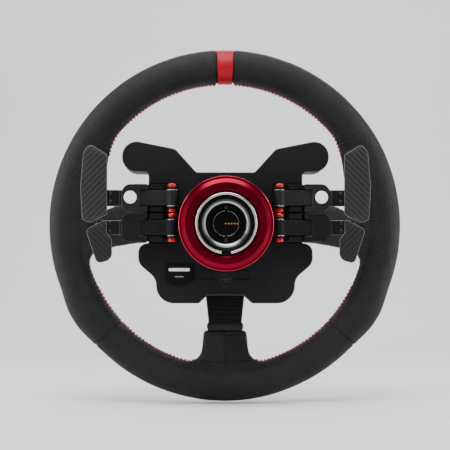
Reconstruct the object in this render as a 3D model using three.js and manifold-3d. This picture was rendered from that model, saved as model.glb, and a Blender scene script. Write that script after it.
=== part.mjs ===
// Sim racing wheel: leather-wrapped 330 mm rim on a three-spoke armature, butterfly hub with paddles on the rear,
// controls on the driver's side, and a pull-collar quick release on the axis.
// Millimetres, +Z up, +Y towards the driver, wheel axis along Y, origin on the axis in the quick-release end plane.
// Left and right in names are the driver's, so left is +X.
import * as THREE from "three";
import { mergeVertices } from "three/addons/utils/BufferGeometryUtils.js";
import Module from "manifold-3d";

const wasm = await Module();
wasm.setup();

// ---- driving dimensions ----
const RIM_MEAN_R = 148.9, // rim tube centreline radius
  RIM_HALF_RADIAL = 16.1,
  RIM_HALF_DEPTH = 14.2,
  RIM_Y = 64, // rim plane
  GAP = 0.3, // gap between touching pieces
  HUB_REAR_Y = 36,
  HUB_SPLIT_Y = 66.3,
  HUB_FRONT_Y = 82,
  PLATE_Y0 = 82.3,
  PLATE_Y1 = 85.3,
  WALL = 2.6,
  ARMATURE_Y0 = 62,
  ARMATURE_Y1 = 66,
  QR_R = 28, // quick-release socket outer radius
  QR_BORE_R = 26,
  COLLAR_R = 43.4,
  COLLAR_TRAVEL = 6,
  BOLT_CIRCLE_R = 35, // six bolts on a 70 mm circle
  HINGE_X = 49.4,
  HINGE_Y = 22,
  BARREL_R = 5.2,
  SHAFT_R = 2,
  SHIFT_Z = 23.7,
  CLUTCH_Z = -3.5;

// ---- helpers ----
const MAT = {
  leather: [0x2b2b2c, 0.75, 0],
  red_leather: [0xc80f24, 0.5, 0],
  black_metal: [0x1d1e20, 0.45, 0.6],
  black_plastic: [0x151617, 0.55, 0],
  red_metal: [0x9c0a1c, 0.3, 0.9],
  steel: [0xc9c6c0, 0.2, 1],
  dark_steel: [0x55575a, 0.35, 1],
  carbon: [0x26282a, 0.35, 0.1],
  white_plastic: [0xf4f4f2, 0.4, 0],
  alloy: [0x8f9194, 0.4, 0.9],
  board: [0x0d3b22, 0.6, 0],
  gold: [0xd9a441, 0.3, 1],
  rubber: [0x121213, 0.85, 0],
  button_grey: [0x34363a, 0.5, 0],
  button_red: [0xb01020, 0.5, 0],
  button_blue: [0x1c4fa8, 0.5, 0],
  button_green: [0x1f8a4c, 0.5, 0],
  button_amber: [0xd58a18, 0.5, 0],
};
const material = (k) =>
  new THREE.MeshStandardMaterial({
    color: MAT[k][0],
    roughness: MAT[k][1],
    metalness: MAT[k][2],
  });

function solid(geometry) {
  let g = geometry.index ? geometry.toNonIndexed() : geometry.clone();
  g = new THREE.BufferGeometry().setAttribute(
    "position",
    g.getAttribute("position"),
  );
  g = mergeVertices(g, 1e-3);
  const tri = new Uint32Array(g.index.array);
  const make = () =>
    new wasm.Manifold(
      new wasm.Mesh({
        numProp: 3,
        vertProperties: new Float32Array(g.attributes.position.array),
        triVerts: tri,
      }),
    );
  let s = make();
  if (s.volume() < 0) {
    for (let i = 0; i < tri.length; i += 3)
      [tri[i + 1], tri[i + 2]] = [tri[i + 2], tri[i + 1]];
    s = make();
  }
  return s;
}
function geometryOf(s) {
  const m = s.getMesh(),
    n = m.numProp,
    v = new Float32Array(m.numVert * 3);
  for (let i = 0; i < m.numVert; i++)
    v.set(m.vertProperties.subarray(i * n, i * n + 3), i * 3);
  const g = new THREE.BufferGeometry();
  g.setAttribute("position", new THREE.BufferAttribute(v, 3));
  g.setIndex(new THREE.BufferAttribute(new Uint32Array(m.triVerts), 1));
  g.computeVertexNormals();
  return g;
}
const wheel = new THREE.Group();
function add(name, s, mat) {
  const mesh = new THREE.Mesh(geometryOf(s), material(mat));
  mesh.name = name;
  wheel.add(mesh);
}

// rounded polygon: vertices [x, z, radius] in order, arcs cut into steps
function rounded(points, steps = 5) {
  const n = points.length;
  const corner = points.map(([x, z, r = 0], i) => {
    const [px, pz] = points[(i + n - 1) % n],
      [qx, qz] = points[(i + 1) % n];
    const a = new THREE.Vector2(px - x, pz - z),
      b = new THREE.Vector2(qx - x, qz - z);
    const la = a.length(),
      lb = b.length();
    a.normalize();
    b.normalize();
    const half = Math.acos(Math.max(-1, Math.min(1, a.dot(b)))) / 2;
    const t = r > 0 && half < 1.5 ? r / Math.tan(half) : 0;
    return { x, z, a, b, la, lb, half, t };
  });
  corner.forEach((c, i) => {
    const d = corner[(i + 1) % n],
      k = (c.lb * 0.998) / (c.t + d.t || 1);
    if (k < 1) {
      c.t *= k;
      d.t *= k;
    }
  });
  const out = [];
  for (const { x, z, a, b, half, t } of corner) {
    if (t <= 0) {
      out.push([x, z]);
      continue;
    }
    const rr = t * Math.tan(half);
    const bis = a.clone().add(b).normalize(),
      c = new THREE.Vector2(x, z).addScaledVector(bis, rr / Math.sin(half));
    const s0 = new THREE.Vector2(x, z).addScaledVector(a, t).sub(c),
      s1 = new THREE.Vector2(x, z).addScaledVector(b, t).sub(c);
    let a0 = Math.atan2(s0.y, s0.x),
      a1 = Math.atan2(s1.y, s1.x);
    while (a1 - a0 > Math.PI) a1 -= 2 * Math.PI;
    while (a1 - a0 < -Math.PI) a1 += 2 * Math.PI;
    const k = Math.max(2, Math.round((steps * Math.abs(a1 - a0)) / 1.5));
    for (let j = 0; j <= k; j++) {
      const ang = a0 + ((a1 - a0) * j) / k;
      out.push([c.x + rr * Math.cos(ang), c.y + rr * Math.sin(ang)]);
    }
  }
  return out;
}
// corners moved inwards by d, their radii changed to match
function inset(poly, d) {
  const n = poly.length;
  let area = 0;
  for (let i = 0; i < n; i++) {
    const [x0, z0] = poly[i],
      [x1, z1] = poly[(i + 1) % n];
    area += x0 * z1 - x1 * z0;
  }
  const s = area > 0 ? 1 : -1;
  return poly.map((q, i) => {
    const p = poly[(i + n - 1) % n],
      r = poly[(i + 1) % n];
    const e1 = new THREE.Vector2(q[0] - p[0], q[1] - p[1]).normalize(),
      e2 = new THREE.Vector2(r[0] - q[0], r[1] - q[1]).normalize();
    const n1 = new THREE.Vector2(-e1.y, e1.x).multiplyScalar(s),
      n2 = new THREE.Vector2(-e2.y, e2.x).multiplyScalar(s);
    const m = n1.clone().add(n2).normalize(),
      k = d / m.dot(n1);
    const convex = s * (e1.x * e2.y - e1.y * e2.x) > 0;
    return [
      q[0] + m.x * k,
      q[1] + m.y * k,
      convex ? Math.max(0.4, q[2] - d) : q[2] + d,
    ];
  });
}
const mirror = (poly) => poly.map(([x, z, r]) => [-x, z, r]);
// a polygon in X-Z made into a plate from y0 to y1
function plate(poly, y0, y1) {
  const shape = new THREE.Shape(
    poly.map(([x, z]) => new THREE.Vector2(x, z)),
  );
  const g = new THREE.ExtrudeGeometry(shape, {
    depth: y1 - y0,
    bevelEnabled: false,
    steps: 1,
  });
  g.rotateX(Math.PI / 2);
  g.translate(0, y1, 0);
  return solid(g);
}
// a polygon in X-Y made into a plate from z0 to z1
function slab(poly, z0, z1) {
  const shape = new THREE.Shape(
    poly.map(([x, y]) => new THREE.Vector2(x, y)),
  );
  const g = new THREE.ExtrudeGeometry(shape, {
    depth: z1 - z0,
    bevelEnabled: false,
    steps: 1,
  });
  g.translate(0, 0, z0);
  return solid(g);
}
const box = (x0, x1, y0, y1, z0, z1) =>
  solid(
    new THREE.BoxGeometry(x1 - x0, y1 - y0, z1 - z0).translate(
      (x0 + x1) / 2,
      (y0 + y1) / 2,
      (z0 + z1) / 2,
    ),
  );
// cylinder along Y
const rod = (x, z, r, y0, y1, n = 20, r2 = r) =>
  solid(
    new THREE.CylinderGeometry(r2, r, y1 - y0, n).translate(
      x,
      (y0 + y1) / 2,
      z,
    ),
  );
// cylinder along Z
const pin = (x, y, r, z0, z1, n = 16) =>
  solid(
    new THREE.CylinderGeometry(r, r, z1 - z0, n)
      .rotateX(Math.PI / 2)
      .translate(x, y, (z0 + z1) / 2),
  );
// profile of [radius, y] points turned about the Y axis
function turned(profile, n = 40, x = 0, z = 0) {
  const pts = profile.map(([r, y]) => new THREE.Vector2(r, y));
  if (profile[0][0] > 0 || profile[profile.length - 1][0] > 0)
    pts.push(pts[0].clone());
  return solid(new THREE.LatheGeometry(pts, n).translate(x, 0, z));
}
// wire coil about an axis parallel to Y
function coil(x, z, r, wire, y0, y1, turns, perTurn, sides) {
  class Helix extends THREE.Curve {
    getPoint(t, target = new THREE.Vector3()) {
      const a = 2 * Math.PI * turns * t;
      return target.set(
        x + r * Math.cos(a),
        y0 + wire + (y1 - y0 - 2 * wire) * t,
        z + r * Math.sin(a),
      );
    }
  }
  const c = new THREE.Shape();
  for (let i = 0; i < sides; i++) {
    const a = (2 * Math.PI * i) / sides;
    if (i) c.lineTo(wire * Math.cos(a), wire * Math.sin(a));
    else c.moveTo(wire, 0);
  }
  c.closePath();
  return solid(
    new THREE.ExtrudeGeometry(c, {
      steps: Math.round(turns * perTurn),
      extrudePath: new Helix(),
      bevelEnabled: false,
    }),
  );
}

// ---- hub outline (left half corners, then mirrored) ----
const U = 0.2183; // drawing unit in mm
const at = (x, y, r) => [(x - 785) * U, (781 - y) * U, r];
const hubLeft = [
  at(661, 560, 4),
  at(571.5, 461.3, 7),
  at(346.5, 416.7, 13.4),
  at(346.5, 558.7, 13.4),
  at(459, 558.7, 4),
  at(459, 862, 1.2),
  at(415.3, 862, 9.4),
  at(415.3, 947.3, 12),
  at(490.9, 1012.3, 13),
  at(490.9, 1116.5, 16.5),
  at(672, 1116.5, 3),
  at(707.6, 1082.4, 3),
];
const hubCorners = hubLeft.concat(mirror(hubLeft).reverse());
const hub = (d, steps = 4) => rounded(inset(hubCorners, d), steps);

// ---- rim ----
function ring(meanR, halfR, halfY, yc, around, sides) {
  const profile = [];
  for (let i = 0; i < sides; i++) {
    const a = (2 * Math.PI * i) / sides;
    profile.push(
      new THREE.Vector2(meanR + halfR * Math.cos(a), yc + halfY * Math.sin(a)),
    );
  }
  profile.push(profile[0].clone());
  return new THREE.LatheGeometry(profile, around);
}
const smooth = (a, b, x) => {
  const t = Math.max(0, Math.min(1, (x - a) / (b - a)));
  return t * t * (3 - 2 * t);
};
const rimGeometry = ring(
  RIM_MEAN_R,
  RIM_HALF_RADIAL,
  RIM_HALF_DEPTH,
  RIM_Y,
  72,
  14,
);
{
  // palm swells low on the rim, thumb rests above the side spokes
  const p = rimGeometry.attributes.position;
  for (let i = 0; i < p.count; i++) {
    const x = p.getX(i),
      z = p.getZ(i),
      r = Math.hypot(x, z);
    const a = (Math.atan2(z, Math.abs(x)) * 180) / Math.PI; // -90..90, the same on both sides
    const out = Math.max(0, (r - RIM_MEAN_R) / RIM_HALF_RADIAL),
      inn = Math.max(0, (RIM_MEAN_R - r) / RIM_HALF_RADIAL);
    const swell = 2.9 * smooth(-45, -33, a) * (1 - smooth(-31, -20, a));
    const thumb = 12.5 * (1 - smooth(17, 41.5, a)) * smooth(-16, 0, a);
    const nr = r + swell * out - thumb * inn;
    p.setXYZ(i, (x * nr) / r, p.getY(i), (z * nr) / r);
  }
}
// leather boots over the spokes
const sideBoot = rounded(
  [
    [-72, 17, 2],
    [-102.5, 18.4, 8],
    [-112.8, 13.6, 4],
    [-115.6, 7, 2],
    [-140, 7, 2],
    [-144, -44, 2],
    [-127.4, -37, 2],
    [-126.2, -26.5, 10],
    [-105, -21, 8],
    [-82, -17.1, 3],
    [-72, -16.8, 2],
  ],
  3,
);
const bottomBoot = rounded(
  [
    [-16.4, -91.6, 1],
    [16.4, -91.6, 1],
    [17.6, -98, 1],
    [21, -99.4, 3],
    [23.4, -130.8, 12],
    [45, -125.4],
    [50, -144],
    [-50, -144],
    [-45, -125.4],
    [-23.4, -130.8, 12],
    [-21, -99.4, 3],
    [-17.6, -98, 1],
  ],
  4,
);
const SPOKE = (g) => [
  // armature spokes and centre plate outline, grown by g
  [
    [-146, -5 - 13 - g],
    [-100, -3 - 12 - g],
    [-38, -13 - g],
    [-38, 13 + g],
    [-100, 9 + g],
    [-146, 5 + g],
  ],
  [
    [-13 - g, -38],
    [-12 - g, -92],
    [-14 - g, -146],
    [14 + g, -146],
    [12 + g, -92],
    [13 + g, -38],
  ],
];
const armature = (g) => {
  const y0 = ARMATURE_Y0 - g,
    y1 = ARMATURE_Y1 + g;
  const [side, bottom] = SPOKE(g);
  return solid(ring(RIM_MEAN_R, 5 + g, 5 + g, RIM_Y, 40, 8))
    .add(plate(side, y0, y1))
    .add(plate(mirror(side), y0, y1))
    .add(plate(bottom, y0, y1))
    .add(rod(0, 0, 43, y0, y1, 28));
};
let boltHoles = [];
for (let i = 0; i < 6; i++) {
  const a = ((30 + 60 * i) * Math.PI) / 180;
  boltHoles.push([BOLT_CIRCLE_R * Math.cos(a), BOLT_CIRCLE_R * Math.sin(a)]);
}
let arm0 = armature(0).subtract(rod(0, 0, 24, 50, 80, 24));
for (const [x, z] of boltHoles) arm0 = arm0.subtract(rod(x, z, 2.9, 50, 80, 8));
add("rim_armature", arm0, "alloy");

const cavity = armature(GAP);
let grip = solid(rimGeometry)
  .add(plate(sideBoot, 56, 72))
  .add(plate(mirror(sideBoot), 56, 72))
  .add(plate(bottomBoot, 56, 72));
// the red marker band sits in a shallow channel round the rim at 12 o'clock
const STRIPE_HALF = 7.3;
const stripeSkin = (inner, outer) => {
  const a = solid(
      ring(RIM_MEAN_R, RIM_HALF_RADIAL + outer, RIM_HALF_DEPTH + outer, RIM_Y, 72, 14),
    ),
    b = solid(
      ring(RIM_MEAN_R, RIM_HALF_RADIAL - inner, RIM_HALF_DEPTH - inner, RIM_Y, 72, 14),
    );
  return a.subtract(b);
};
const channel = stripeSkin(1.2, 3).intersect(
  box(-STRIPE_HALF - GAP, STRIPE_HALF + GAP, 30, 100, 120, 180),
);
grip = grip.subtract(cavity).subtract(channel);
add("rim_grip", grip, "leather");
add(
  "rim_centre_stripe",
  stripeSkin(0.8, 0.3).intersect(
    box(-STRIPE_HALF, STRIPE_HALF, 30, 100, 120, 180),
  ),
  "red_leather",
);
add(
  "bottom_spoke_sleeve",
  plate(
    [
      [-18, -66.9],
      [18, -66.9],
      [15.6, -91.2],
      [-15.6, -91.2],
    ],
    57,
    71,
  ).subtract(cavity),
  "rubber",
);

// ---- hub shells ----
const spokeSlots = armature(0.6);
let rear = plate(hub(0), HUB_REAR_Y, HUB_SPLIT_Y).subtract(
  plate(hub(WALL), HUB_REAR_Y + 3, HUB_SPLIT_Y + 5),
);
// tower that carries the quick release
rear = rear.add(rod(0, 0, 42, HUB_REAR_Y + 1, ARMATURE_Y0 - GAP, 24));
rear = rear.subtract(rod(0, 0, 24, 20, 80, 24)).subtract(spokeSlots);
for (const [x, z] of boltHoles) rear = rear.subtract(rod(x, z, 2.9, 20, 80, 8));
// port under the soft cover, keyhole recess of the round socket, two pairs of shallow grooves
rear = rear.subtract(box(-51, -34.5, 30, 45, -50, -40));
rear = rear.subtract(rod(0, -51.4, 7.1, 30, 37.6, 20));
rear = rear.subtract(box(-3.7, 3.7, 30, 37.6, -61, -51.4));
for (const s of [-1, 1]) {
  rear = rear.subtract(
    box(...(s < 0 ? [-22.5, -9.5] : [9.5, 22.5]), 35, 36.7, -51.1, -50.1),
  );
  rear = rear.subtract(
    box(...(s < 0 ? [-23, -12] : [12, 23]), 35, 36.7, -43.1, -42.1),
  );
}
add("rear_housing", rear, "black_plastic");

let front = plate(hub(0), HUB_SPLIT_Y + GAP, HUB_FRONT_Y)
  .subtract(plate(hub(WALL), 60, 79.6))
  .subtract(plate(hub(5.4), 60, 90));
add("front_housing", front, "black_plastic");

// controls on the driver's side: [x, z]
const BUTTONS = {
  button_upper_outer: [82, 62.4, "button_red"],
  button_upper_inner: [62.5, 57, "button_grey"],
  button_middle: [34, 33, "button_blue"],
  button_lower: [55, 6, "button_green"],
};
const KNOBS = {
  knob_left: [46, -50],
  knob_centre: [0, -46],
  knob_right: [-46, -50],
};
const STICKS = { left: [55, 32], right: [-55, 32] };

let face = plate(hub(0.6), PLATE_Y0, PLATE_Y1);
for (const [x, z] of Object.values(BUTTONS))
  for (const s of [-1, 1]) face = face.subtract(rod(s * x, z, 5.6, 70, 100, 12));
for (const [x, z] of Object.values(KNOBS))
  face = face.subtract(rod(x, z, 3.7, 70, 100, 12));
for (const [x, z] of Object.values(STICKS))
  face = face.subtract(rod(x, z, 8.4, 70, 100, 16));
add("front_plate", face, "carbon");

let board = plate(hub(4.2, 2), 72.4, 74).subtract(rod(0, 0, 24, 60, 90, 20));
add("main_circuit_board", board, "board");

for (const [name, [x, z, mat]] of Object.entries(BUTTONS))
  for (const [side, s] of [
    ["left", 1],
    ["right", -1],
  ])
    add(
      `${name}_${side}`,
      turned(
        [
          [0, 78],
          [6.3, 78],
          [6.3, 81.2],
          [5, 81.6],
          [5, 87.6],
          [4.2, 88.4],
          [0, 88.4],
        ],
        12,
        s * x,
        z,
      ),
      mat,
    );

function fluted(x, z, r, depth, n, y0, y1) {
  const pts = [];
  for (let i = 0; i < n; i++) {
    const a = (2 * Math.PI * i) / n;
    const rr = i % 2 ? r - depth : r;
    pts.push([x + rr * Math.cos(a), z + rr * Math.sin(a)]);
  }
  return plate(pts, y0, y1);
}
for (const [name, [x, z]] of Object.entries(KNOBS))
  add(
    name,
    fluted(x, z, 9, 0.7, 24, 86.6, 97)
      .add(rod(x, z, 7.8, 96.9, 98.4, 16))
      .add(rod(x, z, 3.1, 76.5, 87, 10)),
    "black_metal",
  );

for (const [side, [x, z]] of Object.entries(STICKS)) {
  add(
    `joystick_gimbal_${side}`,
    rod(x, z, 6.6, 77.4, 80.2, 16).subtract(rod(x, z, 4.4, 70, 90, 12)),
    "dark_steel",
  );
  add(
    `joystick_${side}`,
    turned(
      [
        [0, 76.2],
        [3.1, 76.2],
        [3.1, 88.6],
        [6.4, 90.2],
        [7.2, 91.6],
        [7.2, 94.6],
        [6.6, 95.4],
        [3.6, 94.4],
        [0, 94],
      ],
      12,
      x,
      z,
    ),
    "rubber",
  );
}

// ---- quick release ----
let socket = turned(
  [
    [26.4, 0],
    [27.6, 0],
    [QR_R, 0.5],
    [QR_R, 30],
    [40, 30],
    [40, HUB_REAR_Y - GAP],
    [20.4, HUB_REAR_Y - GAP],
    [20.4, 13.4],
    [21, 12.6],
    [25.2, 11],
    [QR_BORE_R, 9.6],
    [QR_BORE_R, 0.5],
  ],
  36,
);
socket = socket.subtract(box(-4.4, 4.4, -1, 6, -30, -24));
for (const [x, z] of boltHoles)
  socket = socket.subtract(rod(x, z, 2.9, 20, 40, 8));
add("qr_socket_body", socket, "steel");
add(
  "qr_release_collar",
  turned(
    [
      [30.3, 3.2],
      [37.2, 3.2],
      [40.8, 6.2],
      [42.8, 6.2],
      [COLLAR_R, 6.8],
      [COLLAR_R, 11],
      [42.4, 12],
      [37.5, 13.2],
      [36, 15],
      [36, 22],
      [32.7, 22],
      [32.7, 10],
      [28.5, 10],
      [28.5, 8],
      [30.3, 8],
    ],
    36,
  ),
  "red_metal",
);
add("qr_collar_spring", coil(0, 0, 30.5, 0.8, 10.3, 29.7, 3, 12, 4), "dark_steel");
let block = turned(
  [
    [0, 30],
    [0, 14.6],
    [12.4, 14.6],
    [12.4, 15.2],
    [18.6, 15.2],
    [18.6, 13.4],
    [19.9, 13.4],
    [19.9, 30],
  ],
  28,
).subtract(box(-1.6, 11.8, 10, 16.2, -1, 1));
add("contact_block", block, "black_plastic");
let pins = box(-1.3, 11.5, 15, 15.9, -0.7, 0.7);
for (let i = 0; i < 5; i++)
  pins = pins.add(rod(-0.4 + 2.72 * i, 0, 0.62, 14, 15.4, 6));
add("contact_pins", pins, "gold");
boltHoles.forEach(([x, z], i) =>
  add(
    `hub_bolt_${i + 1}`,
    rod(x, z, 2.5, 31, 66.4, 8).add(
      rod(x, z, 4.4, 66.3, 71, 10).subtract(rod(x, z, 2.1, 68.6, 75, 6)),
    ),
    "dark_steel",
  ),
);

// ---- rear ports ----
add(
  "port_cover",
  plate(
    rounded(
      [
        [-56.3, -36.4, 1.6],
        [-29, -36.4, 1.6],
        [-29, -53.2, 1.6],
        [-34.6, -53.2, 0.5],
        [-36.6, -56.4, 1.2],
        [-49.8, -56.4, 1.2],
        [-51.8, -53.2, 0.5],
        [-56.3, -53.2, 1.6],
      ],
      3,
    ),
    34.4,
    HUB_REAR_Y - GAP,
  ).add(box(-50.6, -34.9, 35.5, 42, -49.6, -40.4)),
  "rubber",
);
let aux = rod(0, -51.4, 6.7, 35.4, 37.3, 16).add(
  box(-3.4, 3.4, 36.2, 37.3, -60.7, -51.4),
);
aux = aux.subtract(rod(0, -51.4, 4.4, 35, 36.3, 12));
aux = aux.add(box(-3.6, 3.6, 35.6, 36.5, -50.6, -49.8));
aux = aux.add(box(-3.6, 3.6, 35.6, 36.5, -53, -52.2));
add("aux_socket", aux, "black_metal");

// ---- paddle modules ----
function module_(kind, side) {
  const s = side === "left" ? 1 : -1; // the driver's left is +X
  const zc = kind === "shift" ? SHIFT_Z : CLUTCH_Z;
  const half = kind === "shift" ? 12.5 : 13.1; // half height of the arm's head
  const ext = kind === "shift" ? 7.5 : 6.7; // half height of the extension plate
  const X = (v) => s * v;
  const bx = (x0, x1, y0, y1, z0, z1) =>
    box(Math.min(X(x0), X(x1)), Math.max(X(x0), X(x1)), y0, y1, zc + z0, zc + z1);
  const hx = X(HINGE_X);
  // base: floor, two rails beside the arm, two ears for the shaft
  let base = bx(44.8, kind === "shift" ? 71.4 : 73.4, 31.5, HUB_REAR_Y - GAP, -12.6, 12.6);
  // thin stop plate behind the shift arm's head, where its magnet pulls
  if (kind === "shift")
    base = base
      .add(bx(70, 73.4, 31.7, 33, -12.6, 12.6))
      .add(
        plate(
          rounded(
            [
              [X(71), zc - 10.4, 0.5],
              [X(88.2), zc - 10.4, 6.4],
              [X(88.2), zc + 10.4, 6.4],
              [X(71), zc + 10.4, 0.5],
            ],
            3,
          ),
          31.7,
          33,
        ),
      );
  for (const t of [-1, 1]) {
    const lo = t < 0 ? -12.6 : 7.9,
      hi = t < 0 ? -7.9 : 12.6;
    base = base.add(
      slab(
        [
          [X(69.6), 32],
          [X(69.6), 20.6],
          [X(58.4), 20.6],
          [X(55.8), 23.2],
          [X(55.8), 32],
        ],
        zc + lo,
        zc + hi,
      ),
    );
    const el = t < 0 ? -9.8 : 7.9,
      eh = t < 0 ? -7.9 : 9.8;
    base = base
      .add(bx(45, 53.8, HINGE_Y, 32, el, eh))
      .add(pin(hx, HINGE_Y, 4.5, zc + el, zc + eh, 12));
  }
  base = base.subtract(pin(hx, HINGE_Y, 2.4, zc - 14, zc + 14, 10));
  add(`${kind}_base_${side}`, base, "black_metal");
  // red pivot shaft with its end caps
  add(
    `${kind}_pivot_shaft_${side}`,
    pin(hx, HINGE_Y, SHAFT_R, zc - 12, zc + 12, 10)
      .add(pin(hx, HINGE_Y, 4.05, zc + 10.1, zc + 13.2, 12))
      .add(pin(hx, HINGE_Y, 4.05, zc - 13.2, zc - 10.1, 12)),
    "red_metal",
  );
  // arm: barrel, neck, head with two ears
  const headPoly = [
    [X(95.2), zc - half, 8.4],
    [X(72), zc - half, 0.6],
    [X(72), zc - 8, 0.4],
    [X(79.3), zc - 8, 0.3],
    [X(79.3), zc - 6.7, 0.3],
    [X(79.3), zc + 6.7, 0.3],
    [X(79.3), zc + 8, 0.3],
    [X(72), zc + 8, 0.4],
    [X(72), zc + half, 0.6],
    [X(95.2), zc + half, 8.4],
  ];
  let arm = plate(rounded(headPoly, 3), 16.6, 25)
    .add(bx(51, 80, 19, 25, -6.7, 6.7))
    .add(pin(hx, HINGE_Y, BARREL_R, zc - 7.6, zc + 7.6, 14))
    .subtract(pin(hx, HINGE_Y, 2.4, zc - 14, zc + 14, 10));
  if (kind === "shift")
    arm = arm.subtract(rod(X(87.4), zc + 0.4, 6.15, 10, 18.2, 14));
  add(`${kind}_arm_${side}`, arm, "black_metal");
  if (kind === "shift")
    add(
      `shift_magnet_cap_${side}`,
      rod(X(87.4), zc + 0.4, 5.8, 16, 17.9, 14),
      "white_plastic",
    );
  else
    add(
      `clutch_spring_${side}`,
      coil(X(63), zc, 3.2, 0.5, 25.3, 31.2, 2.5, 8, 4),
      "dark_steel",
    );
  // sliding extension plate between arm and blade
  add(
    `${kind}_extension_${side}`,
    plate(
      rounded(
        [
          [X(77), zc - ext, 1],
          [X(119), zc - ext, 2],
          [X(119), zc + ext, 2],
          [X(77), zc + ext, 1],
        ],
        2,
      ),
      25.3,
      28,
    ),
    "black_metal",
  );
  // blade
  const shift = [
    [-125, 73.6, 5],
    [-108.8, 63.6, 3],
    [-108.8, 8.4, 3],
    [-125, 0.6, 6],
    [-131.6, 4, 3],
    [-133.4, 34, 20],
    [-130.6, 66, 4],
  ];
  const clutch = [
    [-109, 4.6, 2],
    [-128.6, -5.2, 4.5],
    [-118, -36.6, 4.5],
    [-104.2, -32.8, 8],
    [-104.4, -14.4, 3],
    [-109, -8, 1.5],
  ];
  const outline = kind === "shift" ? shift : clutch;
  add(
    `${kind}_blade_${side}`,
    plate(rounded(s < 0 ? outline : mirror(outline), 3), 22.4, 25),
    "carbon",
  );
}
for (const kind of ["shift", "clutch"])
  for (const side of ["left", "right"]) module_(kind, side);

export default wheel;
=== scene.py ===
# Looks for the racing wheel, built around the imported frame. Metres, +Z up, +Y towards the driver.
import math

import bmesh
import bpy
import numpy as np
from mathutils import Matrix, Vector, noise
from mathutils.bvhtree import BVHTree


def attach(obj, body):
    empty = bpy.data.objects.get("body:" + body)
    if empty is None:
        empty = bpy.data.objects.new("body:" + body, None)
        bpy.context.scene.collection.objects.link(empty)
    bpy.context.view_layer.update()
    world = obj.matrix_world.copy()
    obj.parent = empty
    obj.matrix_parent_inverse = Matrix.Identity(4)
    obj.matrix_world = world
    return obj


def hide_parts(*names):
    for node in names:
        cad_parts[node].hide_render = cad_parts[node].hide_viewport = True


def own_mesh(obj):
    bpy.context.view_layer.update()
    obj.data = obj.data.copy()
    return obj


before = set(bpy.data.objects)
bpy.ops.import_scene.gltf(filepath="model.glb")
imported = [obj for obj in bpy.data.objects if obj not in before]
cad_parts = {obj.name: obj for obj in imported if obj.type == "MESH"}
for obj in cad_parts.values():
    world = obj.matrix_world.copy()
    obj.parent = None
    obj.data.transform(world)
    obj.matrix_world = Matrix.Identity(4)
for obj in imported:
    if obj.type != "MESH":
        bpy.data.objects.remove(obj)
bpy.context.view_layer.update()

MM = 0.001
SCENE = bpy.context.scene

# ------------------------------------------------------------------ camera, light, stage
RIM_Y = 0.064
cam_data = bpy.data.cameras.new("camera")
cam_data.sensor_width = 36.0
cam_data.lens = 127.4
cam_data.clip_end = 50
cam = bpy.data.objects.new("camera", cam_data)
SCENE.collection.objects.link(cam)
cam.location = (-0.029, RIM_Y - 1.5, -0.039)
aim = Vector((0, RIM_Y, 0.0)) - cam.location
cam.rotation_euler = aim.to_track_quat("-Z", "Y").to_euler()
SCENE.camera = cam


def area(name, loc, target, size, power, size_y=None, colour=(1, 1, 1)):
    d = bpy.data.lights.new(name, "AREA")
    d.energy = power
    d.size = size
    if size_y:
        d.shape = "RECTANGLE"
        d.size_y = size_y
    d.color = colour
    o = bpy.data.objects.new(name, d)
    SCENE.collection.objects.link(o)
    o.visible_camera = False
    o.location = loc
    o.rotation_euler = (Vector(target) - Vector(loc)).to_track_quat("-Z", "Y").to_euler()
    return o


area("top_soft", (0, -0.30, 1.45), (0, 0.05, 0), 1.5, 27, 0.8)
area("left_strip", (-1.30, 0.30, 0.15), (0, 0.05, 0), 0.5, 26, 1.5)
area("right_strip", (1.30, 0.30, 0.15), (0, 0.05, 0), 0.5, 23, 1.5)
area("left_front", (-1.35, -0.78, 0.15), (0, 0.0, 0.0), 0.28, 8.5, 1.1)
area("right_front", (1.35, -0.78, 0.15), (0, 0.0, 0.0), 0.28, 8.5, 1.1)
area("front_high", (-0.25, -1.25, 1.65), (0, 0.0, 0.0), 1.4, 36, 0.8)
area("back_soft", (0.3, 1.7, 1.0), (0, 0.05, 0.0), 1.2, 14, 0.9)
area("backdrop_light", (0, 0.9, 1.6), (0, 1.6, 0.1), 1.6, 14, 0.6)

world = bpy.data.worlds.new("studio")
world.use_nodes = True
world.node_tree.nodes["Background"].inputs[0].default_value = (0.78, 0.79, 0.80, 1)
world.node_tree.nodes["Background"].inputs[1].default_value = 0.12
# the studio walls out of the light look as pale as the paper, and light nothing more than the dim room does
wt = world.node_tree
pale = wt.nodes.new("ShaderNodeBackground")
pale.inputs[0].default_value = (0.78, 0.785, 0.79, 1)
pale.inputs[1].default_value = 1.45
pick = wt.nodes.new("ShaderNodeMixShader")
wt.links.new(wt.nodes.new("ShaderNodeLightPath").outputs["Is Camera Ray"], pick.inputs[0])
wt.links.new(wt.nodes["Background"].outputs[0], pick.inputs[1])
wt.links.new(pale.outputs[0], pick.inputs[2])
wt.links.new(pick.outputs[0], wt.nodes["World Output"].inputs[0])
SCENE.world = world


# ------------------------------------------------------------------ geometry helpers (millimetres)
def new_object(name, verts, faces, recalc=True):
    me = bpy.data.meshes.new(name)
    me.from_pydata([tuple(v) for v in (np.asarray(verts, float) * MM)], [], [tuple(f) for f in faces])
    if recalc:
        bm = bmesh.new()
        bm.from_mesh(me)
        bmesh.ops.recalc_face_normals(bm, faces=bm.faces)
        bm.to_mesh(me)
        bm.free()
    o = bpy.data.objects.new(name, me)
    SCENE.collection.objects.link(o)
    return o


def smooth_by_angle(o, deg=32):
    me = o.data
    me.polygons.foreach_set("use_smooth", np.ones(len(me.polygons), bool))
    if deg < 180:
        me.set_sharp_from_angle(angle=math.radians(deg))
    me.update()


def apply_mods(o):
    dg = bpy.context.evaluated_depsgraph_get()
    me = bpy.data.meshes.new_from_object(o.evaluated_get(dg))
    o.modifiers.clear()
    old = o.data
    o.data = me
    me.name = o.name
    if old.users == 0:
        bpy.data.meshes.remove(old)
    return o


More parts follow.
